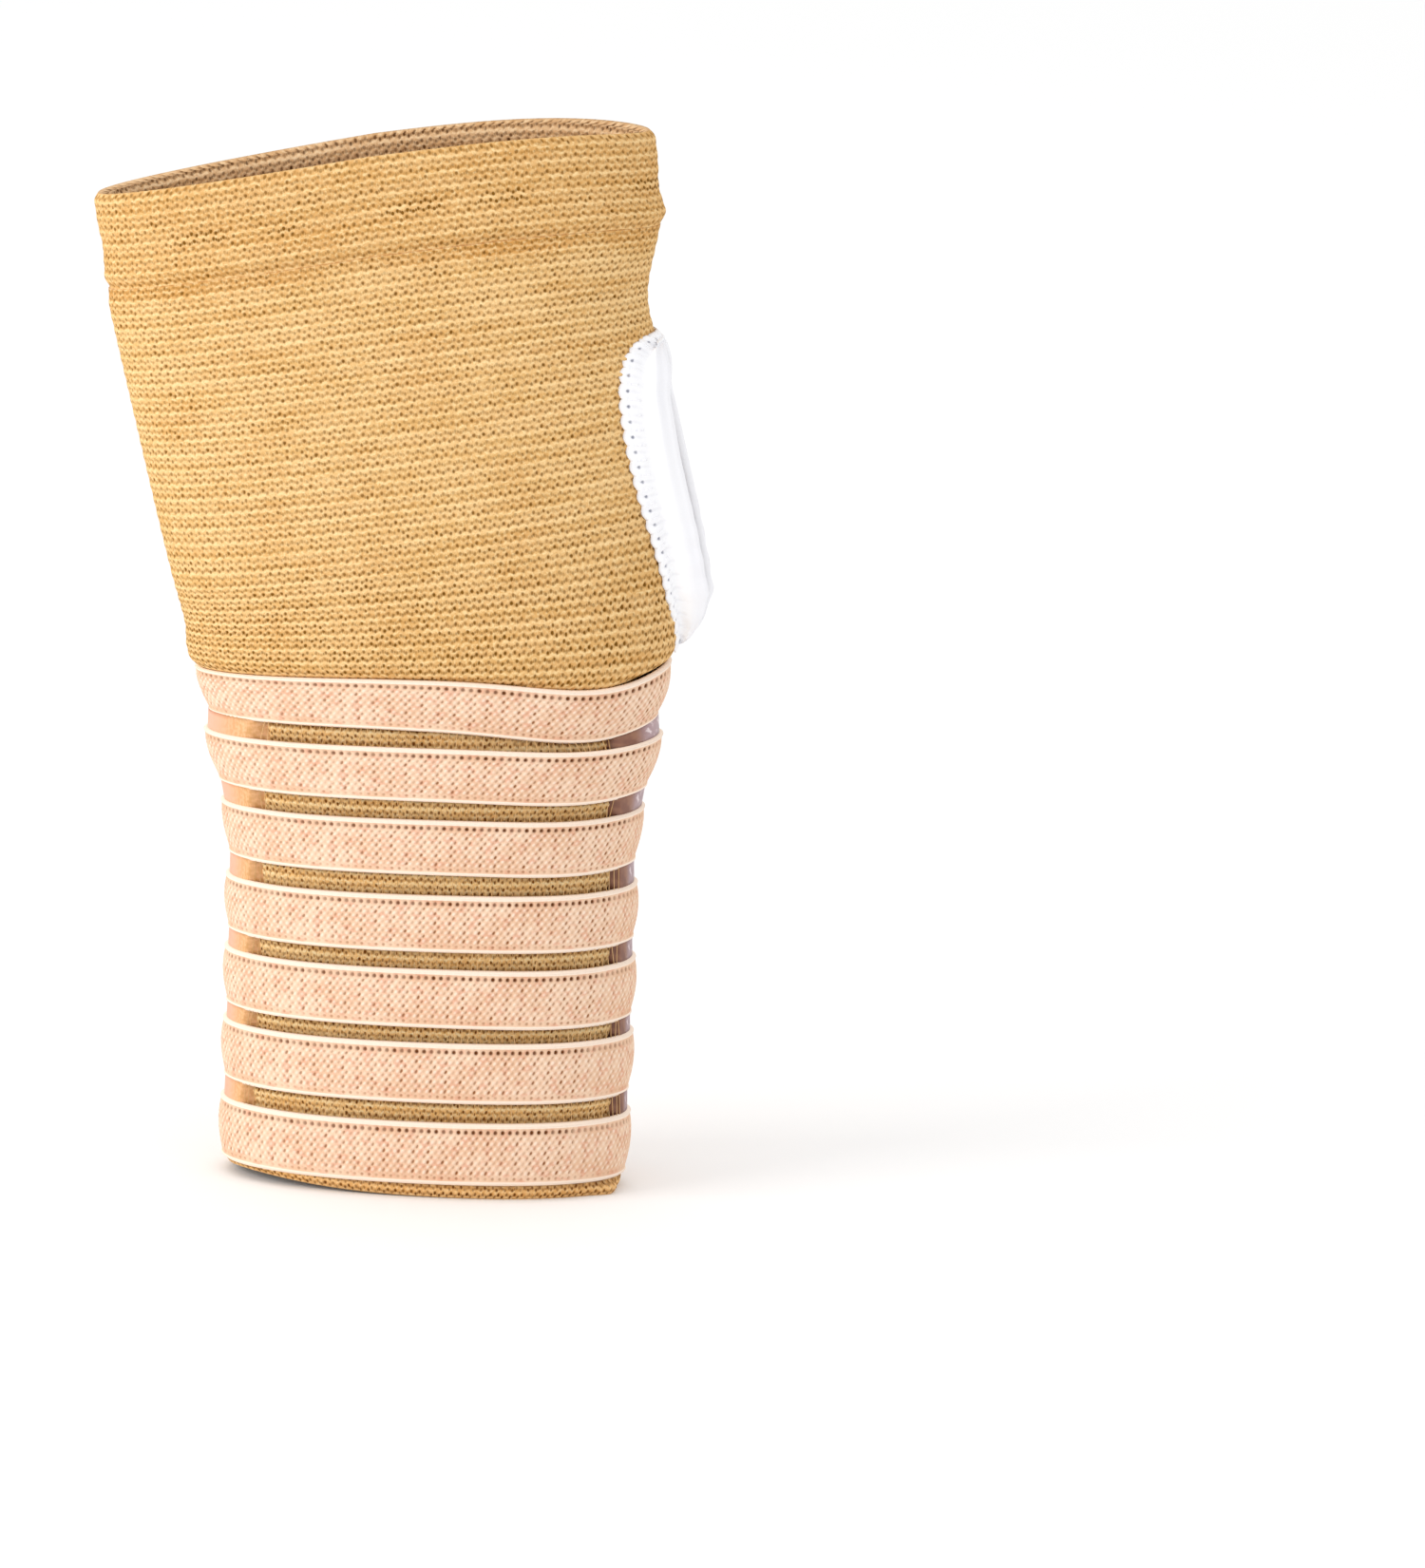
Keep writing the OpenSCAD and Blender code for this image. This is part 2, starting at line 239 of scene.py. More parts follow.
class Shell:
    """Points and four-cornered faces gathered for one piece, with a weave position at each corner."""

    def __init__(self):
        self.points, self.faces, self.weave, self.finish = [], [], [], []
        self.count = 0

    def add(self, grid, u, v, closed_rows=True, closed_cols=True, caps=False, finish=None):
        """Adds a grid of points. u and v are the weave position of each column and of each row."""
        rows, cols = grid.shape[:2]
        points = grid.reshape(-1, 3)
        r, c = np.indices((rows - (not closed_rows), cols - (not closed_cols))).reshape(2, -1, 1)
        kind = np.zeros(len(r), int) if finish is None else np.asarray(finish)[r[:, 0]]
        r, c = r + [0, 0, 1, 1], c + [0, 1, 1, 0]
        faces = r % rows * cols + c % cols
        u_end = np.append(u, 2 * u[-1] - u[-2])
        v_end = np.append(v, v[-1] if closed_rows else 2 * v[-1] - v[-2])
        weave = np.stack([u_end[c], v_end[r]], -1)
        if caps:
            j = np.arange(rows // 2 - 1)
            k = rows - 1 - j
            start = np.stack([j, j + 1, k - 1, k], 1) * cols
            extra = np.concatenate([start, start[:, [0, 3, 2, 1]] + cols - 1])
            faces = np.concatenate([faces, extra])
            weave = np.concatenate([weave, np.stack([np.full(extra.shape, u[0]), v[extra // cols]], -1)])
            kind = np.append(kind, np.zeros(len(extra), int))
        if volume(points, faces) < 0:
            faces, weave = faces[:, ::-1], weave[:, ::-1]
        self.points.append(points)
        self.faces.append(faces + self.count)
        self.weave.append(weave)
        self.finish.append(kind)
        self.count += len(points)

    def piece(self, name, materials, slot, nodes, ride=None, shade=None):
        """Makes the object, which stands for the given CAD nodes and rides on a body or is handed to the
        given ride function.
        """
        points = np.concatenate(self.points) * MM
        faces = np.concatenate(self.faces)
        mesh = bpy.data.meshes.new(name)
        mesh.vertices.add(len(points))
        mesh.vertices.foreach_set("co", points.astype(np.float32).ravel())
        mesh.loops.add(faces.size)
        mesh.loops.foreach_set("vertex_index", faces.astype(np.int32).ravel())
        mesh.polygons.add(len(faces))
        mesh.polygons.foreach_set("loop_start", np.arange(0, faces.size, 4, dtype=np.int32))
        mesh.polygons.foreach_set("material_index", np.concatenate(self.finish).astype(np.int32))
        mesh.polygons.foreach_set("use_smooth", np.full(len(faces), True))
        layer = mesh.uv_layers.new(name="weave")
        layer.data.foreach_set("uv", np.concatenate(self.weave).astype(np.float32).ravel())
        if shade is not None:
            mesh.attributes.new("shade", "FLOAT", "POINT").data.foreach_set("value", shade.ravel())
        mesh.update(calc_edges=True)
        mesh.validate()
        for material in materials:
            mesh.materials.append(material)
        piece = add(name, mesh)
        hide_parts(*nodes)
        if callable(ride):
            ride(piece)
        elif ride:
            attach(piece, ride)
        return piece


def tubes(shell, paths, out, radius, sides=5):
    """Adds round threads. paths is threads x points x 3, and out points away from the fabric."""
    along = unit(np.gradient(paths, axis=1))
    side = unit(np.cross(along, out))
    turn = np.arange(sides)[:, None] * 2 * np.pi / sides
    ring = np.cos(turn) * side[:, :, None] + np.sin(turn) * np.cross(side, along)[:, :, None]
    paths = np.broadcast_to(paths[:, :, None], ring.shape)
    rings = np.concatenate([paths[:, :1], paths + radius * ring, paths[:, -1:]], 1)
    for i, grid in enumerate(rings):
        shell.add(grid, np.full(sides, float(i)), np.arange(float(len(grid))), closed_rows=False)


# ---- materials
class Flow:
    """A number, colour or vector on its way through a material's nodes."""

    def __init__(self, paint, socket):
        self.paint, self.socket = paint, socket

    def wrapped(self):
        return (self + 0.5).frac() - 0.5

    def spike(self, near, far):
        """1 within near of each whole number, 0 beyond far."""
        return 1 - self.paint.fade(self.wrapped().abs(), near, far)


def math_method(operation, swapped=False):
    def method(flow, *others):
        return flow.paint.math(operation, *((*others, flow) if swapped else (flow, *others)))
    return method


for methods, operation in (("__add__ __radd__", "ADD"), ("__sub__ __rsub__", "SUBTRACT"),
                           ("__mul__ __rmul__", "MULTIPLY"), ("__truediv__", "DIVIDE"), ("floor", "FLOOR"),
                           ("frac", "FRACT"), ("abs", "ABSOLUTE"), ("max", "MAXIMUM"), ("min", "MINIMUM")):
    for method in methods.split():
        setattr(Flow, method, math_method(operation, method.startswith("__r")))


def linear(code):
    """Colour from its screen code, as linear light."""
    parts = [int(code[i:i + 2], 16) / 255 for i in (0, 2, 4)]
    return (*[p / 12.92 if p <= 0.04045 else ((p + 0.055) / 1.055) ** 2.4 for p in parts], 1.0)


class Paint:
    """A material under construction."""

    def __init__(self, name, roughness, specular, sheen=0.0):
        self.material = bpy.data.materials.new(name)
        self.material.use_nodes = True
        self.tree = self.material.node_tree
        self.shader = self.tree.nodes["Principled BSDF"]
        for socket, value in (("Roughness", roughness), ("Specular IOR Level", specular),
                              ("Sheen Weight", sheen), ("Sheen Roughness", 0.5)):
            self.shader.inputs[socket].default_value = value

    def node(self, kind, inputs, output=0, **settings):
        """Output of a new node with the given settings and inputs."""
        node = self.tree.nodes.new("ShaderNode" + kind)
        for name, value in settings.items():
            setattr(node, name, value)
        for key, value in inputs.items():
            if isinstance(value, Flow):
                self.tree.links.new(value.socket, node.inputs[key])
            else:
                node.inputs[key].default_value = value
        return Flow(self, node.outputs[output])

    def math(self, operation, *values):
        return self.node("Math", dict(enumerate(values)), operation=operation)

    def vector(self, x, y, z):
        return self.node("CombineXYZ", {0: x, 1: y, 2: z})

    def weave(self):
        """The fabric's own position: stitch columns and rows."""
        column = self.node("SeparateXYZ", {0: self.node("UVMap", {}, uv_map="weave")})
        return column, Flow(self, column.socket.node.outputs[1])

    def chance(self, x, y, z=0.0):
        """A random number for each whole x, y, z."""
        return self.node("TexWhiteNoise", {"Vector": self.vector(x, y, z)}, "Value")

    def shade(self):
        """Painted shade: how deep a point lies in the shade below a rib, from the piece's shade attribute."""
        return self.node("Attribute", {}, "Fac", attribute_name="shade")

    def cloud(self, x, y, z=0.0, detail=2.0):
        """Soft noise round 0.5."""
        return self.node("TexNoise", {"Vector": self.vector(x, y, z), "Scale": 1.0, "Detail": detail}, "Fac")

    def fade(self, value, low, high):
        """0 below low, 1 above high and smooth between them."""
        return self.node("MapRange", {"Value": value, "From Min": low, "From Max": high}, "Result",
                         interpolation_type="SMOOTHSTEP")

    def mix(self, share, *colours):
        first, second = (c if isinstance(c, Flow) else linear(c) for c in colours)
        return self.node("Mix", {"Factor": share, 6: first, 7: second}, 2, data_type="RGBA")

    def dot(self, u, v, at_u, at_v, size_u, size_v, radius, key=0.0, vary=0.6, tall=1.0, slant=0.0):
        """A spot in each cell of the weave, some fainter than others; it can be tall and lean."""
        cu, cv = u - at_u + 0.5, v - at_v + 0.5
        luck = self.chance(cu.floor(), cv.floor(), key)
        x, y = (cu.frac() - 0.5) * size_u, (cv.frac() - 0.5) * size_v
        if slant:
            x = x - y * slant
        if tall != 1.0:
            y = y / tall
        distance = self.math("SQRT", x * x + y * y)
        return (1 - self.fade(distance, radius * 0.45, radius * 1.35)) * (luck * vary + (1 - vary))

    def finish(self, colour, height=None, bump=0.0):
        self.tree.links.new(colour.socket, self.shader.inputs["Base Color"])
        if height is not None:
            normal = self.node("Bump", {"Strength": 0.88, "Distance": bump * MM, "Height": height})
            self.tree.links.new(normal.socket, self.shader.inputs["Normal"])
        return self.material


def knit_paint(name, light, middle, warm, high, hole, crease=False):
    """Two staggered rows of small dark gaps to each course, with broken pale ridges between them."""
    p = Paint(name, roughness=0.9, specular=0.05)
    u, v = p.weave()
    streak = p.fade(p.cloud(u * 0.09, v * 1.3, 3.0), 0.38, 0.64)
    patch = p.fade(p.cloud(u * 0.12, v * 0.5, 9.0), 0.48, 0.75)
    colour = p.mix(patch * 0.4, p.mix(streak * 0.7, light, middle), warm)
    # Warmer on the finger band and low on the palm, with painted shade in a line just under the band's lower
    # edge; worn varies that line's strength softly along it.
    band = p.fade(v, WELT_ROW - 0.3, WELT_ROW + 0.1) * 0.32
    band = band.max((1 - p.fade(v, CREASE_ROW, CREASE_ROW + 11.0)) * 0.28)
    colour = p.mix(band, colour, warm)
    fold = 1 - p.fade((v - WELT_ROW + 0.2).abs(), 0.25, 1.1)
    worn = p.fade(p.cloud(u * 0.06, 1.0, 4.0), 0.36, 0.6)
    colour = p.mix(fold * (worn * 0.6 + 0.15), colour, warm)
    zig = u.wrapped().abs() * 0.26
    ridges = 0.0
    for at, near, far, across, up, key, some, least in (
            (0.06, 0.04, 0.17, 1.3, 3.7, 5.0, 0.5, 0.12), (0.57, 0.03, 0.14, 1.7, 5.3, 2.0, 0.4, 0.04)):
        ridge = (v + zig - at).spike(near, far)
        dash = p.fade(p.cloud(u * across, v.floor() * up, key, 1.0), 0.42, 0.64)
        colour = p.mix(ridge * (dash * some + least), colour, high)
        ridges = ridge + ridges
    thread = p.cloud(u * 3.3, v * 4.2, 1.0, 1.0)
    colour = p.mix(p.fade(thread, 0.48, 0.7) * 0.5, colour, high)
    fine = p.cloud(u * 6.1, v * 7.3, 6.0, 1.0)
    colour = p.mix(p.fade(fine, 0.52, 0.72) * 0.4, colour, warm)
    drift = (p.cloud(u * 0.9, v * 1.1, 7.0, 1.0) - 0.5) * 0.3
    row = drift * 0.3
    holes = 0.0
    for way, at_u, at_v, radius, key, vary, tall, depth in (
            (1, 0.0, 0.32, 0.29, 1.0, 0.5, 1.2, 1.0), (1, 0.5, 0.175, 0.27, 2.0, 0.5, 1.25, 0.9),
            (-1, 0.2, 0.79, 0.27, 3.0, 0.5, 1.25, 0.9), (-1, 0.7, 0.645, 0.26, 4.0, 0.55, 1.25, 0.85)):
        spot = p.dot(u + drift * way, v + row * way, at_u, at_v, WALE, COURSE, radius, key, vary, tall)
        holes = (spot * depth).max(holes)
    holes = holes * (p.cloud(u * 0.35, v * 0.9, 5.0, 1.0) * 0.9 + 0.45)
    for way, at_u, at_v, radius, key in ((1, 0.5, 0.24, 0.17, 5.0), (-1, 0.9, 0.72, 0.16, 6.0)):
        tick = p.dot(u * 2 + drift * way, v, at_u, at_v, WALE / 2, COURSE, radius, key, 0.8, 1.7)
        holes = holes.max(tick * 0.52)
    holes = holes * (1.28 - p.fade(v, CREASE_ROW + 3.0, CREASE_ROW + 11.0) * 0.28)
    loose = (1 - p.fade((v - WELT_ROW - 3.2).abs(), 0.2, 0.5)) * p.fade(p.cloud(u * 0.11, 2.0, 7.0), 0.5, 0.6)
    holes = (holes * (loose * 1.3 + 1)).min(1.0)
    halo = p.dot(u + drift, v + row, 0.1, 0.36, WALE, COURSE, 0.5, 1.0, 0.5)
    colour = p.mix(halo * 0.35, colour, warm)
    colour = p.mix(holes, colour, hole)
    if crease:
        # Painted shade under each rib, darkest just below its foot, with a ragged edge.
        ragged = p.fade(p.cloud(u * 0.7, v * 0.2, 4.0), 0.3, 0.65) * 0.6 + 0.4
        colour = p.mix((p.shade() * ragged * 0.85).min(0.8), colour, "5a2a0c")
    return p.finish(colour, ridges * 0.4 + thread * 0.6 - holes, 0.12)


def rib_paint(name, light, middle, pink, high, pit, hole):
    """Woven elastic: pale edge cords, a row of holes under the top cord and staggered leaning gaps."""
    p = Paint(name, roughness=0.8, specular=0.05)
    u, v = p.weave()
    down = 1 - v
    shade = p.fade(p.cloud(u * 0.16, v * 2.2, 2.0), 0.38, 0.64)
    blush = p.fade(p.cloud(u * 0.7, v * 7.0, 6.0), 0.48, 0.68)
    colour = p.mix(blush * 0.55, p.mix(shade * 0.7, light, middle), pink)
    around = (u / RIB_COLUMNS).frac()
    worn = p.fade(around, 0.45, 0.9) * 0.6 + 0.5
    rows = (down - RIB_FIELD_TOP) / RIB_ROW + (p.cloud(u * 0.8, v * 5.0, 8.0, 1.0) - 0.5) * 0.25
    even, odd = (u * 0.5).spike(0.15, 0.3), (u * 0.5 - 0.25).spike(0.15, 0.3)
    field = p.fade(down, 0.17, 0.21) * p.fade(down, 0.87, 0.83)

    def lean(at_u, at_row, radius, key, vary, tall):
        return p.dot(u, rows, at_u, at_row, RIB_PITCH, 1.6, radius, key, vary, tall, -0.3)

    marks = lean(0.0, 0.0, 0.23, 1.0, 0.45, 1.45) * (even * 0.65 + 0.35)
    marks = marks.max(lean(0.5, 0.5, 0.21, 2.0, 0.6, 1.4) * (odd * 0.2 + 0.55))
    strand = lean(0.5, 0.0, 0.27, 3.0, 0.4, 1.2).max(lean(0.0, 0.5, 0.25, 4.0, 0.5, 1.2))
    colour = p.mix(strand * field * 0.7, colour, high)
    colour = p.mix(marks * field * (worn * 0.95).min(1.0), colour, pit)
    high_row = p.dot(u, down, 0.0, 0.135, 1.22, 9.6, 0.34, 3.0, 0.45) * p.fade(v, 0.78, 0.8)
    low_row = p.dot(u, down, 0.0, 0.885, 1.22, 9.6, 0.27, 4.0, 0.7) * p.fade(v, 0.2, 0.18)
    colour = p.mix(low_row * 0.6 * worn, colour, pit)
    colour = p.mix(high_row * worn, colour, hole)
    colour = p.mix(p.fade((v - 0.5).abs(), 0.425, 0.44), colour, high)
    twist = p.cloud(u * 2.2, v * 20, 1.0, 1.0)
    return p.finish(colour, twist * 0.4 + (strand * 0.5 - marks) * field - high_row, 0.12)


def thread_paint(name, light, dark):
    """Twisted yarn."""
    p = Paint(name, roughness=0.6, specular=0.3, sheen=0.1)
    u, v = p.weave()
    twist = p.cloud(u * 3.1, v * 2.7, 4.0)
    return p.finish(p.mix(p.fade(twist, 0.35, 0.7), light, dark), twist, 0.05)


def binding_paint():
    """Smooth white stretch tape with a faint fan of grooves and grey needle holes; painted shade greys the
    grooves and the tape towards its rim, and a painted brown shadow lines the lobes' edge.
    """
    p = Paint("white_tape", roughness=0.62, specular=0.3, sheen=0.2)
    u, v = p.weave()
    fan = p.fade((u - 0.5).wrapped().abs(), 0.16, 0.0) * p.fade(v, 4.4, 1.7) * p.fade(v, 1.2, 1.6)
    colour = p.mix(p.fade(p.cloud(u * 0.12, v * 0.35, 3.0), 0.4, 0.7) * 0.5, "f8f8fa", "f0f0f5")
    # Painted shade: greyer away from the lobes, towards the collar's rim.
    colour = p.mix(p.fade(v, 4.5, 7.0) * 0.35, colour, "e6e6ec")
    # Painted shade in the fan of grooves.
    colour = p.mix(fan * 0.2, colour, "c4c3ce")
    # Painted brown shadow along the lobes' edge beside the knit.
    colour = p.mix(p.fade(v, 0.5, 0.0) * 0.35, colour, "b99a80")
    x, y = (u - 0.5).wrapped() * 2.4, v - 1.35
    hole = 1 - p.fade(p.math("SQRT", x * x + y * y), 0.12, 0.36)
    colour = p.mix(hole * (p.chance(u.floor(), 1.0) * 0.35 + 0.6), colour, "8f92a3")
    return p.finish(colour, p.cloud(u * 3.0, v * 0.3, 8.0, 1.0) * 0.4 - hole - fan * 0.5, 0.1)


def filament_paint():
    """Clear nylon monofilament."""
    p = Paint("clear_nylon", roughness=0.3, specular=0.5)
    u, _ = p.weave()
    return p.finish(p.mix(p.chance(u.floor(), 2.0), "dcb27a", "bd8f54"))


def film_paint():
    """Closely set nylon with lit and shaded copies painted in: painted shade (brown) beside the knit and
    along the lower edge at the thumb side, mauve with painted highlight streaks at the thumb edge, and a
    salmon copy painted as lit down the far side, with painted shade along its top."""
    p = Paint("close_set_nylon", roughness=0.35, specular=0.4)
    u, v = p.weave()
    across, far_across = ((u - at - (FILM_COLUMNS - 1) / 2).abs() / (FILM_COLUMNS / 2)
                          for at in (FILM_U, FILM_U + FILM_STEP))
    soft = p.cloud(u * 0.12, v * 1.6, 3.0)
    streak = p.fade(p.cloud(u * 0.22 + v * 1.5, v * 2.2, 3.0), 0.52, 0.66)
    # Painted shade: brown where the knit beside the thumb side's panels lies in shade.
    shade = p.mix(p.fade(soft, 0.35, 0.65), "7c5140", "93674f")
    # Mauve nylon with painted highlight streaks.
    mauve_with_painted_glints = p.mix(streak * 0.8, p.mix(soft, "a08388", "b59a9c"), "ead9da")
    thumb = p.mix(p.fade(across, 0.72, 0.42), shade, mauve_with_painted_glints)
    # Painted shade along the lower edge of the thumb side's panels.
    thumb = p.mix(p.fade(v, 0.3, 0.1) * 0.6, thumb, "6b4436")
    # The far side's panels: a salmon copy of the same nylon, painted as lit.
    far = p.mix(p.cloud(u * 0.2, v * 3.0, 2.0), "f0b094", "e6a480")
    grain = p.mix(p.fade(p.cloud(u * 0.9, v * 5.0, 5.0, 1.0), 0.35, 0.65), "e4b07e", "cf9a60")
    far = p.mix(p.fade(far_across, 0.35, 0.85), far, grain)
    # Painted shade along the top of the far side's panels, under the rib.
    far = p.mix(p.fade(v, 0.78, 0.98) * 0.45, far, "a06a40")
    return p.finish(p.mix(p.fade(u, 1200, 1201), thumb, far))


def tape_paint(name, light, middle, dark, ribs=2.2):
    """Plain woven tape with fine cross ribs."""
    p = Paint(name, roughness=0.8, specular=0.2, sheen=0.1)
    u, v = p.weave()
    rib = (v * ribs).wrapped().abs() * 2
    warp = (u * 3.0).wrapped().abs() * 2
    colour = p.mix(p.fade(p.cloud(u * 0.4, v * 0.5, 2.0), 0.35, 0.7), light, middle)
    colour = p.mix(p.fade(rib, 0.55, 1.0) * 0.5, colour, dark)
    colour = p.mix(p.fade(warp, 0.7, 1.0) * 0.25, colour, dark)
    return p.finish(colour, rib * -0.6 - warp * 0.4, 0.1)


def pile_paint():
    """Brushed loop pile."""
    p = Paint("loop_pile", roughness=0.95, specular=0.1, sheen=0.5)
    u, v = p.weave()
    fuzz = p.cloud(u * 3.2, v * 3.2, 1.0, 4.0)
    curl = p.cloud(u * 9.0, v * 9.0, 5.0, 2.0)
    colour = p.mix(p.fade(fuzz, 0.35, 0.7), "f0cdaa", "cf9f78")
    colour = p.mix(p.fade(curl, 0.55, 0.75) * 0.4, colour, "ffe9cf")
    return p.finish(colour, fuzz + curl * 0.6, 0.25)


KNIT = knit_paint("knit", "e6bd83", "d7a866", "c98f49", "f5d8a2", "7c541c")
# knit_under_wrap and knit_hem are copies of the palm's knit with lighter, yellower colours, painted light
# that offsets the shade round the wrap; both also carry painted shade under each rib.
KNIT_UNDER = knit_paint("knit_under_wrap", "fedc9e", "f6c278", "dc9f54", "ffeec0", "7a4a1a", crease=True)
KNIT_HEM = knit_paint("knit_hem", "f0c488", "e0aa64", "ca8c46", "fcdca8", "6e4014", crease=True)
KNIT_INSIDE = knit_paint("knit_inside", "e2bc90", "cea270", "bc8c5e", "f2d6ae", "54300f")
WOVEN = rib_paint("woven_elastic", "ebcaae", "e0b594", "dc9e82", "fae6d4", "96603a", "704224")
FILAMENT = filament_paint()
FILM = film_paint()
WHITE_TAPE = binding_paint()
WHITE_THREAD = thread_paint("white_thread", "ffffff", "e6e6ee")
SEAM_THREAD = thread_paint("seam_thread", "b98a50", "8a5c2c")
PALE_THREAD = thread_paint("pale_thread", "fff2e0", "ecd0b0")
GOLD_THREAD = thread_paint("gold_thread", "d8a868", "a87638")
TAPE = tape_paint("binding_tape", "f6cfa8", "ecbd92", "c58e66")
HOOK_TAPE = tape_paint("hook_tape", "efcba8", "e2b68e", "c09068", 3.0)
PILE = pile_paint()


# ---- knitted pieces
rng = np.random.default_rng(SEED)
STITCH_LUCK = rng.random((200, WALES))
KNIT_SHARES = np.arange(4 * WALES) / (4 * WALES)
KNIT_U = KNIT_SHARES * WALES


def knit_relief(u, v, amount=1.0):
    """Height of the knit at stitch column u and row v: a ridge at each course and pits between."""
    height = 0.036 * np.cos(2 * np.pi * (v + 0.1 + 0.1 * np.cos(2 * np.pi * u)))
    for at_u, at_v, deep, key in ((0.0, 1 / 3, 1.0, 0), (0.5, 1 / 6, 0.8, 1), (0.5, 2 / 3, 0.6, 2)):
        column = np.floor(u - at_u + 0.5).astype(int) % WALES
        row = (np.floor(v - at_v + 0.5).astype(int) * 4 + key) % len(STITCH_LUCK)
        du, dv = wrapped(u - at_u) * 1.6, wrapped(v - at_v) * COURSE
        depth = deep * (0.13 + 0.26 * STITCH_LUCK[row, column])
        height = height - depth * np.exp(-(du * du + dv * dv) / 0.1)
    return amount * height


def tuck(s, deg=180.0):
    """The knit is drawn in under the wrap, most under the first rib's top edge."""
    top = s + sag(1, deg)
    return (-TUCK * ramp(s, HEM_H, HEM_H + TUCK_RUN) * (1 - ramp(top, 88.0, 91.5))
            - 0.7 * ramp(s, 74, 80) * (1 - ramp(top, 88.0, 91.0)))


def edge_shift(s, deg):
    """The hem rides up at the little-finger side, and the finger rim droops towards both sides."""
    across = signed_pow(np.cos(np.radians(deg)), SQUARENESS)
    thumb, far = np.clip(across, 0, 1), np.clip(-across, 0, 1)
    droop = (0.7 + 3.3 * thumb ** 3 + 2.1 * far) * ramp(s, 125, SLEEVE_LEN)
    return 1.7 * (1 - ramp(s, 0.5, HEM_H)) * bump_at(wrapped(deg - 205, 360), 42) - droop


def sleeve_grid(levels, offs):
    """Points of a tube wall: offs is levels x columns."""
    rows = []
    for s, off in zip(levels, offs):
        deg = section_degrees(s, KNIT_SHARES)
        rows.append(surf(s + edge_shift(s, deg), deg, off))
    return np.stack(rows)


# Under the wrap the knit's sides run straight down, so the wrap stands away from them.
EDGE_REACH, EDGE_LEAN, FAR_REACH = 33.6, math.radians(2.7), 30.2


def side_dent(s, deg):
    """How far the knit under the wrap stands in from its section at angle deg."""
    x, z, _ = spine(s)
    held = ramp(s, 7, 13) * (1 - ramp(s + 0.7 * sag(1, deg), 85.0, 90.0))
    u = half_w(s) * signed_pow(np.cos(np.radians(deg)), SQUARENESS)
    over = np.maximum(u + x - (EDGE_REACH - 0.5 - z * math.tan(EDGE_LEAN)), 0)
    far = np.maximum(-(u + x) - FAR_REACH + 0.5, 0)
    lean_in = np.maximum(np.abs(np.cos(np.radians(deg))), 0.5)
    return -held * (over + 0.6 * far) / lean_in


def knit_tube(name, levels_out, levels_in, shape, outer, nodes, ride, inner=-KNIT_T,
              relief_ends=(0.0, 0.0), amount=0.9, creased=False):
    """A knitted tube with a patterned outside and a plain inside; shape(s, deg) shifts its surface."""
    levels = np.concatenate([levels_out, levels_in[::-1]])
    low, high = levels_out[0], levels_out[-1]
    offs, shade = [], []
    for i, s in enumerate(levels):
        deg = section_degrees(s, KNIT_SHARES)
        off = shape(s, deg)
        if i < len(levels_out):
            fade = min(ramp(s, low, low + relief_ends[0]) if relief_ends[0] else 1,
                       1 - ramp(s, high - relief_ends[1], high) if relief_ends[1] else 1)
            off = off + knit_relief(KNIT_U, s / COURSE, amount) * fade
        else:
            off = off + inner
        offs.append(off)
        if creased:
            shade.append(crease_shade(s, deg))
    shell = Shell()
    kinds = [0] * (len(levels_out) - 1) + [1] * (len(levels_in) + 1)
    shell.add(sleeve_grid(levels, offs), KNIT_U, levels / COURSE, finish=kinds)
    shade = np.stack(shade).astype(np.float32) if creased else None
    return shell.piece(name, [outer, KNIT_INSIDE], "knit", nodes, ride, shade)


def crease_shade(s, deg):
    """Depth of painted shade on the knit at level s: strongest just below each rib, weaker just above it."""
    shade = 0.0
    for k in range(1, RIBS + 1):
        below = rib_z(k) - RIB_FOOT - sag(k, deg) - s
        above = s - (rib_z(k) + rib_h(k) - sag(k, deg))
        for gap, depth, reach in ((below, 1.0, 0.55), (above, 0.45, 0.4)):
            near = (gap > -0.8) & (gap < 3)
            shade = np.maximum(shade, depth * near * np.exp(-(np.maximum(gap, 0) / reach) ** 2))
    return shade


def stitch_levels(low, high, per_course=6):
    """Levels from low to high at whole steps of the knit's rows."""
    step = COURSE / per_course
    first, last = math.ceil(low / step + 0.2), math.floor(high / step - 0.2)
    return np.concatenate([[low], np.arange(first, last + 1) * step, [high]])


def hand_shape(s, deg):
    """The palm's knit puffs a little above the wrap and draws in below the welt."""
    puff = 0.5 * bump_at(s - 93, 4.0)
    wave = 0.12 * np.sin(np.radians(3 * deg) + s / 9) * ramp(s, 92, 110)
    under = tuck(s, deg) + side_dent(s, deg)
    return under + puff + wave


def girth(s):
    """Length round the section at level s."""
    ring = surf(s, section_degrees(s, np.linspace(0, 1, 241)), 0)
    return float(np.linalg.norm(np.diff(ring, axis=0), axis=1).sum())


def thread(s, deg, off):
    """Points of a thread on the fabric, and the points 1 mm further out."""
    path = surf(s, deg, off)
    return path, surf(s, deg, off + 1) - path


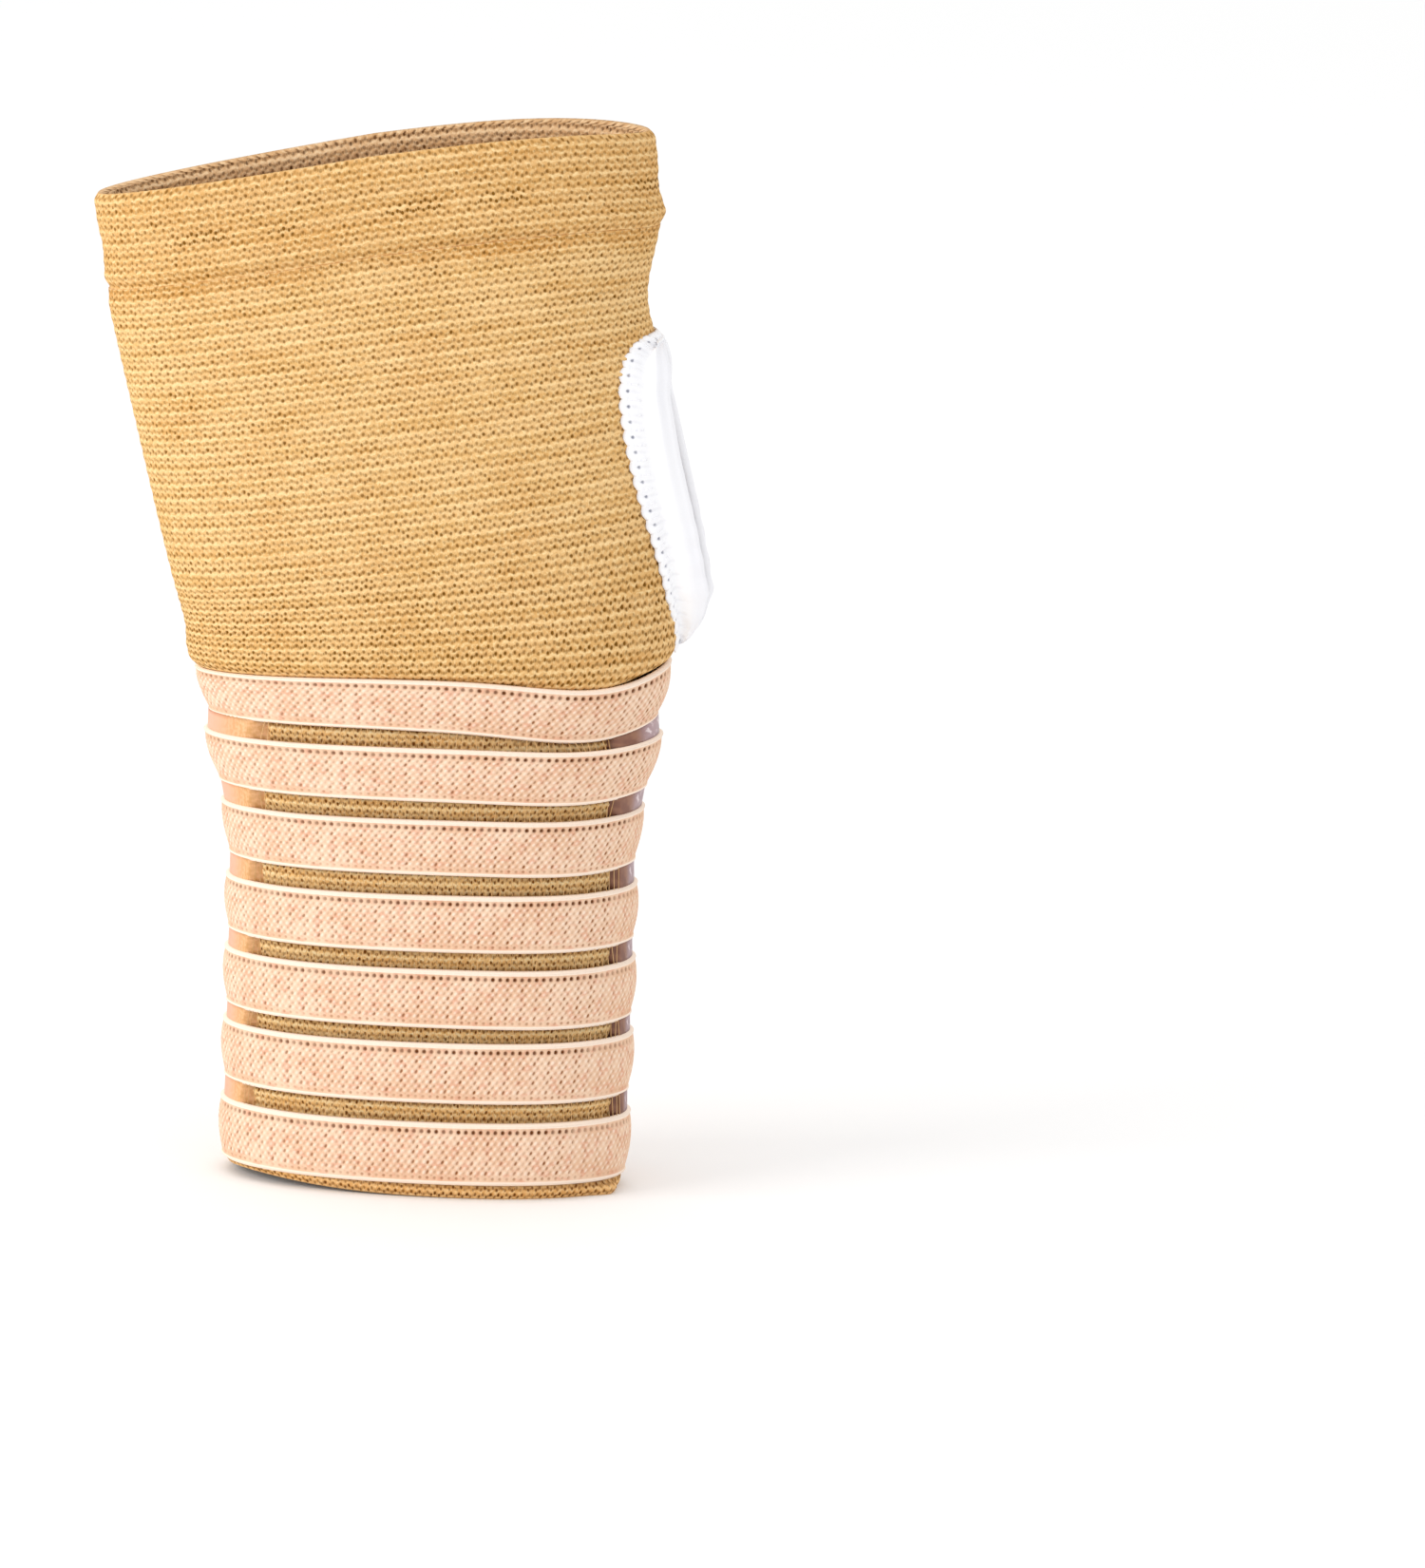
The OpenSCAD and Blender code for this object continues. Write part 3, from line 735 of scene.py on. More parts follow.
def make_hand():
    # The inner wall's rows are closest near the ends of the thumb hole.
    inside = np.array([PALM_LOW, 89.0, 90.5, 92.0, 94.0, 97.0, 101.0, 107.0, 115.0, 124.0, 131.0, 135.0,
                       137.5, 139.5, 142.0, 150.0, PALM_HIGH])
    hand = knit_tube("knit_hand", stitch_levels(PALM_LOW, PALM_HIGH), inside, hand_shape, KNIT,
                     ("wrist_crease", "hand_sleeve"), None, amount=1.0)
    cut_thumb_hole(hand)
    ride_crease(hand)
    length = PALM_HIGH - PALM_LOW
    mean = np.mean([girth(s) for s in np.linspace(PALM_LOW, WELT_LOW, 12)])
    hole = (THUMB_HIGH - THUMB_LOW) * THUMB_HALF * 1.4
    girth(WELT_LOW)
    (mean * length - hole) / (girth(WELT_LOW) * length)


def egg_y_at(s, low, high, half):
    """Half width of the thumb egg at level s."""
    mid, long = (low + high) / 2, (high - low) / 2
    cos_t = np.clip(-(s - mid) / long, -1, 1)
    sin_t = np.sqrt(1 - cos_t ** 2)
    return half * (1 - 0.3 * cos_t) * sin_t ** np.where(cos_t < 0, 0.36, 1.15)


def level_of(points):
    """Level along the centre line of points near the thumb side, by a few steps of projection."""
    s = points[:, 2] - ORIGIN[2]
    for _ in range(6):
        x, z, lean = spine(s)
        dx, dz = points[:, 0] - ORIGIN[0] - x, points[:, 2] - z
        s = s + (-dx * np.sin(lean) + dz * np.cos(lean))
    return s


def cut_thumb_hole(piece):
    """Removes the knit inside the thumb opening and closes the wall round it."""
    mesh = piece.data
    bm = bmesh.new()
    bm.from_mesh(mesh)
    centres = np.array([f.calc_center_median()[:] for f in bm.faces]) / MM
    s = level_of(centres)
    x, y = centres[:, 0] - ORIGIN[0], centres[:, 1] - ORIGIN[1]
    low, high = THUMB_LOW + THUMB_MARGIN, THUMB_HIGH - THUMB_MARGIN
    gone = ((s > low) & (s < high) & (x > 10)
            & (np.abs(y) < egg_y_at(s, low, high, THUMB_HALF - THUMB_MARGIN)))
    faces = list(bm.faces)
    bmesh.ops.delete(bm, geom=[faces[i] for i in np.flatnonzero(gone)], context="FACES")
    bmesh.ops.bridge_loops(bm, edges=[e for e in bm.edges if e.is_boundary])
    bm.to_mesh(mesh)
    bm.free()
    mesh.update()


def welt_shape(s, deg):
    """The turned-in band stands proud of the palm, pulled in at its stitching and rounded at its rim."""
    proud = 0.9 * ramp(s, WELT_LOW, WELT_LOW + 3.2) - 0.35 * bump_at(s - WELT_LOW - 0.3, 1.1)
    dip = -0.3 * bump_at(s - 169, 2.6)
    rim = -0.9 * ramp(s, SLEEVE_LEN - 1.6, SLEEVE_LEN + 0.2) ** 2
    wave = 0.16 * np.sin(np.radians(2 * deg) + 1.1) * ramp(s, 164, 172)
    return proud + dip + rim + wave


def make_welt():
    welt = knit_tube("knit_welt", stitch_levels(WELT_LOW, SLEEVE_LEN),
                     np.linspace(WELT_LOW, SLEEVE_LEN - 0.5, 6), welt_shape, KNIT, ("finger_welt",), "hand",
                     inner=-2.0, relief_ends=(0.0, 1.2))
    girth(BAND_MID)
    # The turned-in half is patterned on its inside, which is seen down the opening.
    low, high = WELT_LOW - 0.4, SLEEVE_LEN - 0.4
    patterned, plain = stitch_levels(low, high), np.linspace(low, high, 5)
    levels = np.concatenate([patterned, plain[::-1]])
    lips = 0.5 * ramp(levels, high - 1.8, high)
    offs = [-2.95 + lip - knit_relief(KNIT_U, s / COURSE, 1.2) if i < len(patterned) else
            np.full_like(KNIT_U, -2.0 + lip * 0.9) for i, (s, lip) in enumerate(zip(levels, lips))]
    shell = Shell()
    shell.add(sleeve_grid(levels, offs), KNIT_U, levels / COURSE)
    lining = shell.piece("welt_inside", [KNIT_INSIDE], "knit_inside", ("welt_lining",), "hand")
    girth(BAND_MID) - 18


def wrist_shape(s, deg):
    groove = -0.35 * bump_at(wrapped(deg - SEAM_DEG, 360), 1.6)
    puff = sum(0.35 * bump_at(s - (rib_z(k) - GAP_H / 2), 1.2) for k in range(1, RIBS))
    return tuck(s, deg) + side_dent(s, deg) + groove + puff


def make_wrist():
    dense = [stitch_levels(rib_z(k) - GAP_H - 1.0 - (2.0 if k == 1 else 0.6), rib_z(k) + 0.8)
             for k in range(1, RIBS)]
    outside = np.unique(np.round(np.concatenate([[HEM_H], *dense, [WRIST_HIGH]]), 4))
    wrist = knit_tube("knit_wrist", outside, np.linspace(HEM_H, WRIST_HIGH, 14), wrist_shape, KNIT_UNDER,
                      ("wrist_sleeve",), "wrist", creased=True)
    mean = np.mean([girth(s) for s in np.linspace(HEM_H, WRIST_HIGH, 12)])
    girth(WRIST_HIGH)
    mean / girth(WRIST_HIGH)


def hem_shape(s, deg):
    fold = -0.8 * (1 - ramp(s, -0.2, 1.3)) ** 2
    groove = -0.5 * bump_at(wrapped(deg - SEAM_DEG, 360), 1.4)
    corner = 1.5 * bump_at(wrapped(deg - SEAM_DEG + 9, 360), 8)
    return fold + groove + corner * (1 - ramp(s, 1.0, 2.6)) + side_dent(s, deg)


def make_hem():
    hem = knit_tube("knit_hem", stitch_levels(0.0, HEM_H), np.linspace(0.4, HEM_H, 5), hem_shape, KNIT_HEM,
                    ("wrist_hem",), "wrist", inner=-2.2, relief_ends=(0.6, 0.0), creased=True)
    girth(3)


# ---- elastic wrap
RIB_ROWS = 28


def rib_relief(u, t, h):
    """Height of the woven elastic at column u and share t of the rib's height h from its foot."""
    foot, top = t * h, (1 - t) * h
    cord = 0.32 * (bump_at(foot - 0.34, 0.34) + bump_at(top - 0.34, 0.34))
    edge = -0.4 * (bump_at(foot, 0.14) + bump_at(top, 0.14))
    field = ramp(t, 0.15, 0.2) * (1 - ramp(t, 0.78, 0.83))
    rows = (1 - t - RIB_FIELD_TOP) / RIB_ROW
    line = 0.0
    for at in (0.0, 0.5):
        dv = wrapped(rows - at) * 1.6
        du = wrapped(u - at) * RIB_PITCH + 0.25 * dv
        pair = 0.6 + 0.4 * np.cos(np.pi * (u - at))
        line = line + 0.28 * pair * np.exp(-(du * du / 0.07 + dv * dv / 0.2))
    pits = sum(deep * np.exp(-((wrapped(u) * 1.22) ** 2 + ((t - at) * h) ** 2) / size ** 2)
               for deep, at, size in ((0.6, 0.865, 0.34), (0.22, 0.12, 0.28)))
    return cord + edge - field * line - pits


def rib_bulge(t, deg):
    """The rib is fullest at mid height; it draws in at its foot, and at the sides at its top too."""
    side = ramp(np.abs(np.cos(np.radians(deg))), 0.55, 0.95)
    return -1.1 * (1 - t) ** 2.2 - 0.3 * t ** 8 - side * (0.7 * t ** 3 + 0.35 * (1 - t) ** 3)


def under_tab(deg):
    """1 where the closure lies on the wrap, 0 elsewhere."""
    return ramp(deg, 36, 44) * (1 - ramp(deg, 112, 120))


def rib_grid(k, columns, deg_of, inner, outer, bulge_at):
    """Rows up the outside of rib k and back down its inside."""
    z, h = rib_z(k) - RIB_FOOT, rib_h(k) + RIB_FOOT
    shares = np.linspace(0, 1, RIB_ROWS)
    outside, inside = [], []
    for t in shares:
        deg = deg_of(z + t * h)
        level = z + t * h - sag(k, deg)
        off = outer(deg) + rib_bulge(t, deg) * bulge_at(deg) + rib_relief(columns, t, h)
        outside.append(surf(level, deg, off))
        inside.append(surf(level, deg, inner(deg)))
    return np.stack(outside + inside[::-1]), np.concatenate([shares, shares[::-1]])


def rib_piece(name, k, grid, u, v, node, ride, closed=True):
    shell = Shell()
    shell.add(grid, u + 2 * k, v, closed_cols=closed, caps=not closed)
    rib = shell.piece(name, [WOVEN], "woven_elastic", (node,), ride)


def make_ribs():
    shares = np.arange(RIB_COLUMNS * 4) / (RIB_COLUMNS * 4)
    keep = [*range(RIB_ROWS), *range(RIB_ROWS, 2 * RIB_ROWS, 6), 2 * RIB_ROWS - 1]
    for k in range(1, RIBS + 1):
        snug = 1.3 if k == 1 else 0.0
        grid, v = rib_grid(k, shares * RIB_COLUMNS, lambda s: section_degrees(s, shares),
                           lambda deg: WRAP_IN - snug,
                           lambda deg: WRAP_OUT - 0.1 - 0.15 * under_tab(deg) - snug,
                           lambda deg: 1 - 0.7 * under_tab(deg))
        rib_piece(f"elastic_rib_{k}", k, grid[keep], shares * RIB_COLUMNS, v[keep], f"wrap_rib_{k}",
                  "wrist")


def loose_threads(count, seed, lean):
    """Places from 0 to 1 of threads, unevenly spaced, and how far each one leans."""
    luck = np.random.default_rng(seed)
    shares = (np.arange(count) + luck.uniform(-0.25, 0.25, count)) / count
    return shares, luck.uniform(-lean, lean, count)


def gap_level(k, deg, x):
    """Level of a point at share x of the way up the gap under rib k."""
    low, high = rib_z(k) - GAP_H - sag(k + 1, deg), rib_z(k) - RIB_FOOT - sag(k, deg)
    return low + (high - low) * x


def filament_paths(k, shares, off, bulge, lean, deg_of=None):
    """Threads across the gap under rib k."""
    paths, outs = [], []
    for x in np.linspace(-0.3, 1.3, 6):
        across = shares + lean * (x - 0.5)
        deg = section_degrees(rib_z(k) - GAP_H / 2, across % 1) if deg_of is None else deg_of(across)
        path, out = thread(gap_level(k, deg, x), deg, off + bulge * (1 - x))
        paths.append(path)
        outs.append(out)
    return np.stack(paths, 1), np.stack(outs, 1)


def knit_edge(s, off, side):
    """Angle from the side at which the closely set filaments begin, at level s."""
    x, z, _ = spine(s)
    reach = EDGE_REACH - z * math.tan(EDGE_LEAN) if side > 0 else FAR_REACH + 0 * z
    share = np.clip((reach - side * x) / (half_w(s) + off), 0, 0.999)
    return np.degrees(np.arccos(share ** (1 / SQUARENESS)))


def film_panels(shell, k):
    """Closely set filaments down both sides, where the wrap stands away from the knit."""
    snug = 1.0 if k == 1 else 0.0
    across = np.linspace(-1, 1, FILM_COLUMNS)
    weft = 0.03 * np.cos(np.arange(FILM_COLUMNS) * np.pi)
    for side, middle, dip in ((1, 0.0, 0.94), (-1, 180.0, 0.84)):
        rows = []
        for x in np.arange(7) / 6:
            lift = 0.5 + 0.1 * (1 - x) - snug * x
            deg = middle + knit_edge(rib_z(k) - GAP_H * (1 - x), lift, side) * across
            off = lift - 2.4 * ramp(np.abs(across), dip, 1.0)
            rows.append(surf(gap_level(k, deg, -0.15 + 1.3 * x), deg, off + weft))
        outer = np.stack(rows)
        inner = outer - 0.25 * (surf(90, middle, 1) - surf(90, middle, 0))
        u = FILM_U + np.arange(FILM_COLUMNS) + (0.0 if side > 0 else FILM_STEP)
        v = np.concatenate([np.linspace(0, 1, 7), np.linspace(1, 0, 7)])
        shell.add(np.concatenate([outer, inner[::-1]]), u, v, closed_cols=False, caps=True,
                  finish=np.ones(14, int))


def make_filaments():
    for k in range(1, RIBS):
        shares, lean = loose_threads(150, SEED + k, 0.0025)
        snug = 1.0 if k == 1 else 0.0
        turn = section_degrees(rib_z(k), shares % 1)
        free = ((np.abs(wrapped(turn, 360)) > knit_edge(rib_z(k), 0.5, 1) - 1)
                & (np.abs(wrapped(turn - 180, 360)) > knit_edge(rib_z(k), 0.5, -1) - 1))
        shell = Shell()
        tubes(shell, *filament_paths(k, shares[free] % 1, 0.5 - snug, 0.15 + snug, lean[free]), 0.06)
        film_panels(shell, k)
        shell.piece(f"clear_filaments_{k}", [FILAMENT, FILM], "clear_filament", (f"clear_gap_{k}",), "wrist")


# ---- closure at the back
JOINT = next(j for j in frame["joints"] if j["name"] == "closure_peel")
PIVOT = Vector(JOINT["pos_m"]) if "pos_m" in JOINT else Vector(JOINT["origin_m"])


def ride_tab(piece):
    """Bakes the placement of a piece of the wrap's last turn into its mesh."""
    ends = ((PIVOT.x + dx, PIVOT.y, PIVOT.z) for dx in (-0.004, 0.005))
    next(ends)
    next(ends)
    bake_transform(piece)


TAB_START = TAB_ROOT + 12


def tab_lift(deg):
    """How far the wrap's outer turn has climbed over its first turn."""
    return 1 - ramp(deg, TAB_ROOT - 4, TAB_START)


def strip_degrees(columns, start, stop):
    return start + (stop - start) * np.arange(columns) / (columns - 1)


def make_tab():
    deg = strip_degrees(4 * 34, TAB_END, TAB_START)
    u = np.arange(len(deg)) / 4 + 20
    for k in range(1, RIBS + 1):
        grid, v = rib_grid(k, u, lambda s: deg,
                           lambda d: WRAP_OUT - 1.2 + (END_IN - WRAP_OUT + 1.2) * tab_lift(d),
                           lambda d: WRAP_OUT - 0.1 + (END_OUT - WRAP_OUT) * tab_lift(d), lambda d: 0.5)
        rib_piece(f"tab_rib_{k}", k, grid, u, v, "end_ribs", ride_tab, closed=False)
    shell = Shell()
    for k in range(1, RIBS):
        shares, lean = loose_threads(70, SEED + 40 + k, 0.01)

        def deg_of(x):
            return TAB_END + 2 + (TAB_START - TAB_END - 3) * np.clip(x, 0, 1)

        off = 1.1 + ((END_IN + END_OUT) / 2 - 1.1) * tab_lift(deg_of(shares))
        tubes(shell, *filament_paths(k, shares, off, 0.15, lean, deg_of), 0.09)
    shell.piece("tab_filaments", [FILAMENT], "clear_filament", ("end_gaps",), ride_tab)


def flat_tape(name, inset, ends, inner, outer, material, slot, node, ride,
              rows=60, relief=None):
    """A thin upright tape on the wrap between two angles, inset from the wrap's ends."""
    low, high, (start, stop) = WRAP_START + inset, WRAP_END - inset, ends
    deg = strip_degrees(max(6, int(abs(stop - start) * 2)), start, stop)
    levels = np.linspace(low, high, rows)
    s, u = levels[:, None], (deg - start) * 0.4
    edge = 0.35 * (bump_at(s - low, 0.4) + bump_at(s - high, 0.4)
                   + bump_at(u, 0.5) + bump_at((deg - stop) * 0.4, 0.5))
    grid = [surf(s, deg, outer - edge + (relief(u, s) if relief else 0)), surf(s, deg, inner)[::-1]]
    shell = Shell()
    shell.add(np.concatenate(grid), u, np.concatenate([levels, levels[::-1]]), closed_cols=False, caps=True)
    shell.piece(name, [material], slot, (node,), ride)


def make_closure():
    noise = np.random.default_rng(SEED + 80).normal(0, 0.07, (400, 400))
    flat_tape("start_tape", 0.0, START_TAPE, LOOP_IN, LOOP_OUT, TAPE, "binding_tape",
              "start_binding", "wrist")
    flat_tape("loop_patch", 1.0, LOOP_STRIP, LOOP_IN, LOOP_OUT, PILE, "loop_pile",
              "loop_strip", "wrist", rows=150,
              relief=lambda u, s: noise[(s * 3).astype(int) % 400, (u * 9).astype(int) % 400])
    flat_tape("hook_patch", 1.5, HOOK_STRIP, HOOK_IN + 0.3, HOOK_OUT, HOOK_TAPE, "hook_tape",
              "hook_strip", "closure_tab")
    make_fold()


def make_fold():
    """Tape folded over the wrap's cut end, with a zigzag of stitches."""
    low, high = WRAP_START - 0.3, WRAP_END + 0.3
    levels = np.linspace(low, high, 90)
    thick, top = 0.45, END_OUT + 0.62
    mid, half = (top + HOOK_IN) / 2, (top - HOOK_IN) / 2
    outside, inside = [], []
    for x in (0.0, 0.6, 2, 4, 6, 8):
        lift = top + 0.12 * math.sin(math.pi * x / 9) - (0.1 if x == 0 else 0)
        outside.append((TAPE_EDGE - x, lift))
        inside.append((TAPE_EDGE - x, lift - thick))
    for a in range(90, -91, -30):
        c, sin_a = math.cos(math.radians(a)), math.sin(math.radians(a))
        outside.append((TAB_END - 1.9 * c, mid + half * sin_a))
        inside.append((TAB_END - 1.3 * c, mid + (half - thick) * sin_a))
    profile = outside + inside[::-1]
    grid = np.stack([surf(levels, deg, off + 0.03 * np.sin(levels * 1.7)) for deg, off in profile])
    shell = Shell()
    shell.add(grid, levels, np.arange(len(profile)) * 0.8, closed_cols=False, caps=True)
    fold = shell.piece("end_tape", [TAPE], "binding_tape", ("end_binding",), "closure_tab")
    zig = np.arange(low + 1.2, high - 1.0, 0.12)
    path, out = thread(zig, TAPE_STITCH + 1.5 * (np.abs(wrapped(zig / 3.2)) * 4 - 1), END_OUT + 0.82)
    shell = Shell()
    tubes(shell, path[None], out[None], 0.22, 6)
    shell.piece("end_stitches", [PALE_THREAD], "tape_thread", ("binding_stitching",), "closure_tab")


# ---- thumb binding
def egg(t, low, high):
    return (low + high) / 2 - (high - low) / 2 * np.cos(t)


def egg_y(t, by=0.0):
    """Half width of the egg at t, drawn in by a distance."""
    width = (1 - 0.3 * np.cos(t)) * signed_pow(np.sin(t), np.where(np.cos(t) < 0, 0.36, 1.15))
    return (THUMB_HALF - by) / THUMB_HALF * (THUMB_HALF * width)


def rim_u(s):
    tip = 0.05 + 0.95 * slope(s, RIM_LOW, 97.5) ** 0.38
    return half_w(s) + 0.9 * ramp(s, 129, 136) + 6.4 * np.clip((131 - s) / 34, 0, 1) ** 1.05 * tip


def foot(t, by, off):
    """Point on the sleeve, by inside the binding's foot and off outside the knit."""
    return side_point(egg(t, THUMB_LOW + by, THUMB_HIGH - by), egg_y(t, by), off)


def rim(t, by, out):
    """Point at the collar's rim, by towards the thumb and out beyond it."""
    s = egg(t, RIM_LOW, RIM_HIGH)
    level = egg(t, RIM_LOW + by, RIM_HIGH - by)
    y = RIM_SHARE * egg_y(t, by * 1.4)
    palm_side = 0.7 * ramp(-y, 0, 3) * (1 - ramp(s, 118, 134))
    return from_spine(level, rim_u(s) + out - palm_side, y)


def smooth_path(points, count=12):
    """Curve through points (each columns x 3), with count steps between neighbours."""
    p = np.stack([2 * points[0] - points[1], *points, 2 * points[-1] - points[-2]])
    out = []
    for i in range(1, len(p) - 2):
        for x in np.arange(count) / count:
            out.append(0.5 * (2 * p[i] + (p[i + 1] - p[i - 1]) * x
                              + (2 * p[i - 1] - 5 * p[i] + 4 * p[i + 1] - p[i + 2]) * x ** 2
                              + (3 * p[i] - p[i - 1] - 3 * p[i + 1] + p[i + 2]) * x ** 3))
    out.append(p[-2])
    return np.stack(out)


def along(path, distances):
    """Points of each column of a path at distances from its start; at most its own length."""
    steps = np.linalg.norm(np.diff(path, axis=0), axis=-1)
    run = np.concatenate([np.zeros((1, path.shape[1])), np.cumsum(steps, 0)])
    out = np.empty((len(distances), path.shape[1], 3))
    for c, axis in np.ndindex(path.shape[1], 3):
        out[:, c, axis] = np.interp(distances[:, c], run[:, c], path[:, c, axis])
    return out, run[-1]


def even_turns(columns):
    """Values of t whose feet are evenly spaced round the egg."""
    t = np.linspace(0, 2 * np.pi, 1601)
    ring = foot(t, 0, 0.4)
    run = np.concatenate([[0], np.cumsum(np.linalg.norm(np.diff(ring, axis=0), axis=1))])
    return np.interp(np.arange(columns) / columns * run[-1], run, t)


BACK = surf(120, 0, 1) - surf(120, 0, 0)   # points away from the knit at the thumb side


def make_binding():
    columns = LOBES * 12
    t = even_turns(columns)
    u = np.arange(columns) / 12
    lobe = 0.75 * np.sqrt(np.maximum(1 - (2 * (u % 1) - 1) ** 2, 0))
    lobe = 0.45 + (lobe - 0.45) * (0.25 + 0.75 * ramp(np.abs(egg_y(t)), 2, 6))
    outer = smooth_path([foot(t, -0.35, 0.2), foot(t, 0.3, 0.75), foot(t, 1.5, 0.95),
                         0.55 * foot(t, 1.0, 1.5) + 0.45 * rim(t, -0.5, -0.2),
                         rim(t, -0.2, -0.9), rim(t, 0.15, -0.1), rim(t, 0.8, 0.25)])
    _, whole = along(outer, np.zeros((1, columns)))
    near = np.array([0.0, 0.22, 0.45, 0.7, 0.95, 1.2, 1.45, 1.7, 2.0, 2.4, 2.9])[:, None]
    far = near[-1] + (whole - near[-1]) * np.linspace(0, 1, 17)[1:, None]
    distances = np.concatenate([near + 0 * whole, far])
    grid, _ = along(outer, distances)
    tip = unit(foot(t, -0.35, 0.2) - foot(t, 0.3, 0.2))
    grid = grid + (np.clip(1 - distances / 1.2, 0, 1) * (lobe - 0.3))[..., None] * tip
    around = np.roll(grid, -1, 1) - np.roll(grid, 1, 1)
    normal = unit(np.cross(around, np.gradient(grid, axis=0)))
    if (normal[6] @ BACK).mean() < 0:
        normal = -normal
    x = wrapped(u - 0.5) * 2.4
    hole = 0.55 * np.exp(-(x ** 2 + (distances - 1.35) ** 2) / 0.24 ** 2)
    groove = 0.16 * bump_at(x, 0.35) * ramp(distances, 1.2, 1.8) * (1 - ramp(distances, 2.5, 5.5))
    puff = -0.22 * np.cos(2 * np.pi * (u - 0.5)) * (1 - ramp(distances, 0.8, 1.5))
    low_side = 1 - ramp(egg(t, THUMB_LOW, THUMB_HIGH), 100, 118)
    crumple = 0.1 * low_side * np.cos(2 * np.pi * u / 2 + 1) * ramp(distances, 2, 4)
    grid = grid + normal * (puff - hole - groove + crumple)[..., None]
    inner = smooth_path([rim(t, 0.8, 0.25), rim(t, 1.5, -0.2), rim(t, 1.9, -1.2),
                         0.5 * foot(t, 2.2, 0.4) + 0.5 * rim(t, 2.2, -1.4), foot(t, 2.0, -0.8),
                         foot(t, 1.6, -KNIT_T - 0.9), foot(t, -0.6, -KNIT_T - 0.9),
                         foot(t, -1.6, -KNIT_T - 0.45)], 4)[1:]
    under = smooth_path([foot(t, -1.6, -KNIT_T - 0.15), foot(t, 0.2, -KNIT_T - 0.25), foot(t, 1.2, -0.8),
                         foot(t, 0.9, -0.1), foot(t, -0.2, 0.05)], 2)
    v = np.concatenate([distances.mean(1), distances[-1].mean() + np.arange(1, len(inner) + 1) * 0.5,
                        np.full(len(under), 20.0)])
    shell = Shell()
    shell.add(np.concatenate([grid, inner, under]), u, v)
    tape = shell.piece("thumb_tape", [WHITE_TAPE], "white_elastic", ("thumb_binding",), ride_crease)
    make_binding_stitches(t, u)


def make_binding_stitches(t, u):
    """One thread from each needle hole over the edge of its lobe into the knit."""
    half = np.interp(np.arange(LOBES) + 0.03, u, t)
    path = smooth_path([foot(half, by, off) for by, off in
                        ((1.2, 0.5), (0.9, 0.8), (0.4, 0.75), (0.0, 0.4), (-0.15, 0.05))], 3)
    paths = np.swapaxes(path, 0, 1)
    shell = Shell()
    tubes(shell, paths, np.broadcast_to(BACK, paths.shape), 0.17, 6)
    shell.piece("thumb_stitches", [WHITE_THREAD], "white_thread", ("thumb_stitching",), ride_crease)


# ---- seams and stitching inside
def overlock(name, low, high, shape, node, ride, pitch=1.5):
    """A side seam on the inside: a soft ridge under a row of thread loops."""
    levels = np.linspace(low, high, max(8, int((high - low) / 0.8)))
    ridge = []
    for x in np.linspace(0, 2 * np.pi, 13)[:-1]:
        deg = SEAM_DEG + 2.6 * math.cos(x)
        ridge.append(surf(levels, deg, shape(levels, deg) + SEAM_IN - 0.45 + 0.5 * math.sin(x)))
    shell = Shell()
    shell.add(np.stack(ridge), levels, np.arange(12.0), closed_cols=False, caps=True)
    x = np.linspace(0, 1, 9)
    s = low + (np.arange(int((high - low) / pitch))[:, None] + x) * pitch
    deg = SEAM_DEG + 3.2 * np.cos(x * 2 * np.pi)
    off = shape(s, deg) + SEAM_IN - 0.75 - 0.35 * np.abs(np.sin(x * 2 * np.pi))
    tubes(shell, *thread(s, deg, off), 0.2)
    shell.piece(name, [SEAM_THREAD], "seam_thread", (node,), ride)


def make_seams():
    overlock("seam_wrist", HEM_H + 0.4, CREASE_LOW - 4, lambda s, d: tuck(s, d) + side_dent(s, d),
             "wrist_seam", "wrist")
    overlock("seam_hand", THUMB_HIGH + 2.5, WELT_LOW - 1, hand_shape, "palm_seam", "hand")
    count = 130
    x = np.linspace(0, 1, 7)
    s = WELT_LOW - 0.8 + 0.9 * (1 - np.abs(2 * x - 1)) - 0.4
    shares = (np.arange(count)[:, None] + x) / count
    deg = np.stack([section_degrees(level, shares[:, i] % 1) for i, level in enumerate(s)], 1)
    shell = Shell()
    tubes(shell, *thread(s, deg, -2.6 - 0.45 * np.sin(x * np.pi)), 0.2)
    shell.piece("welt_stitches", [GOLD_THREAD], "seam_thread", ("welt_stitching",), "hand")


def ride_crease(piece):
    """Bakes the placement of a piece on the palm into its mesh."""
    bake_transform(piece)


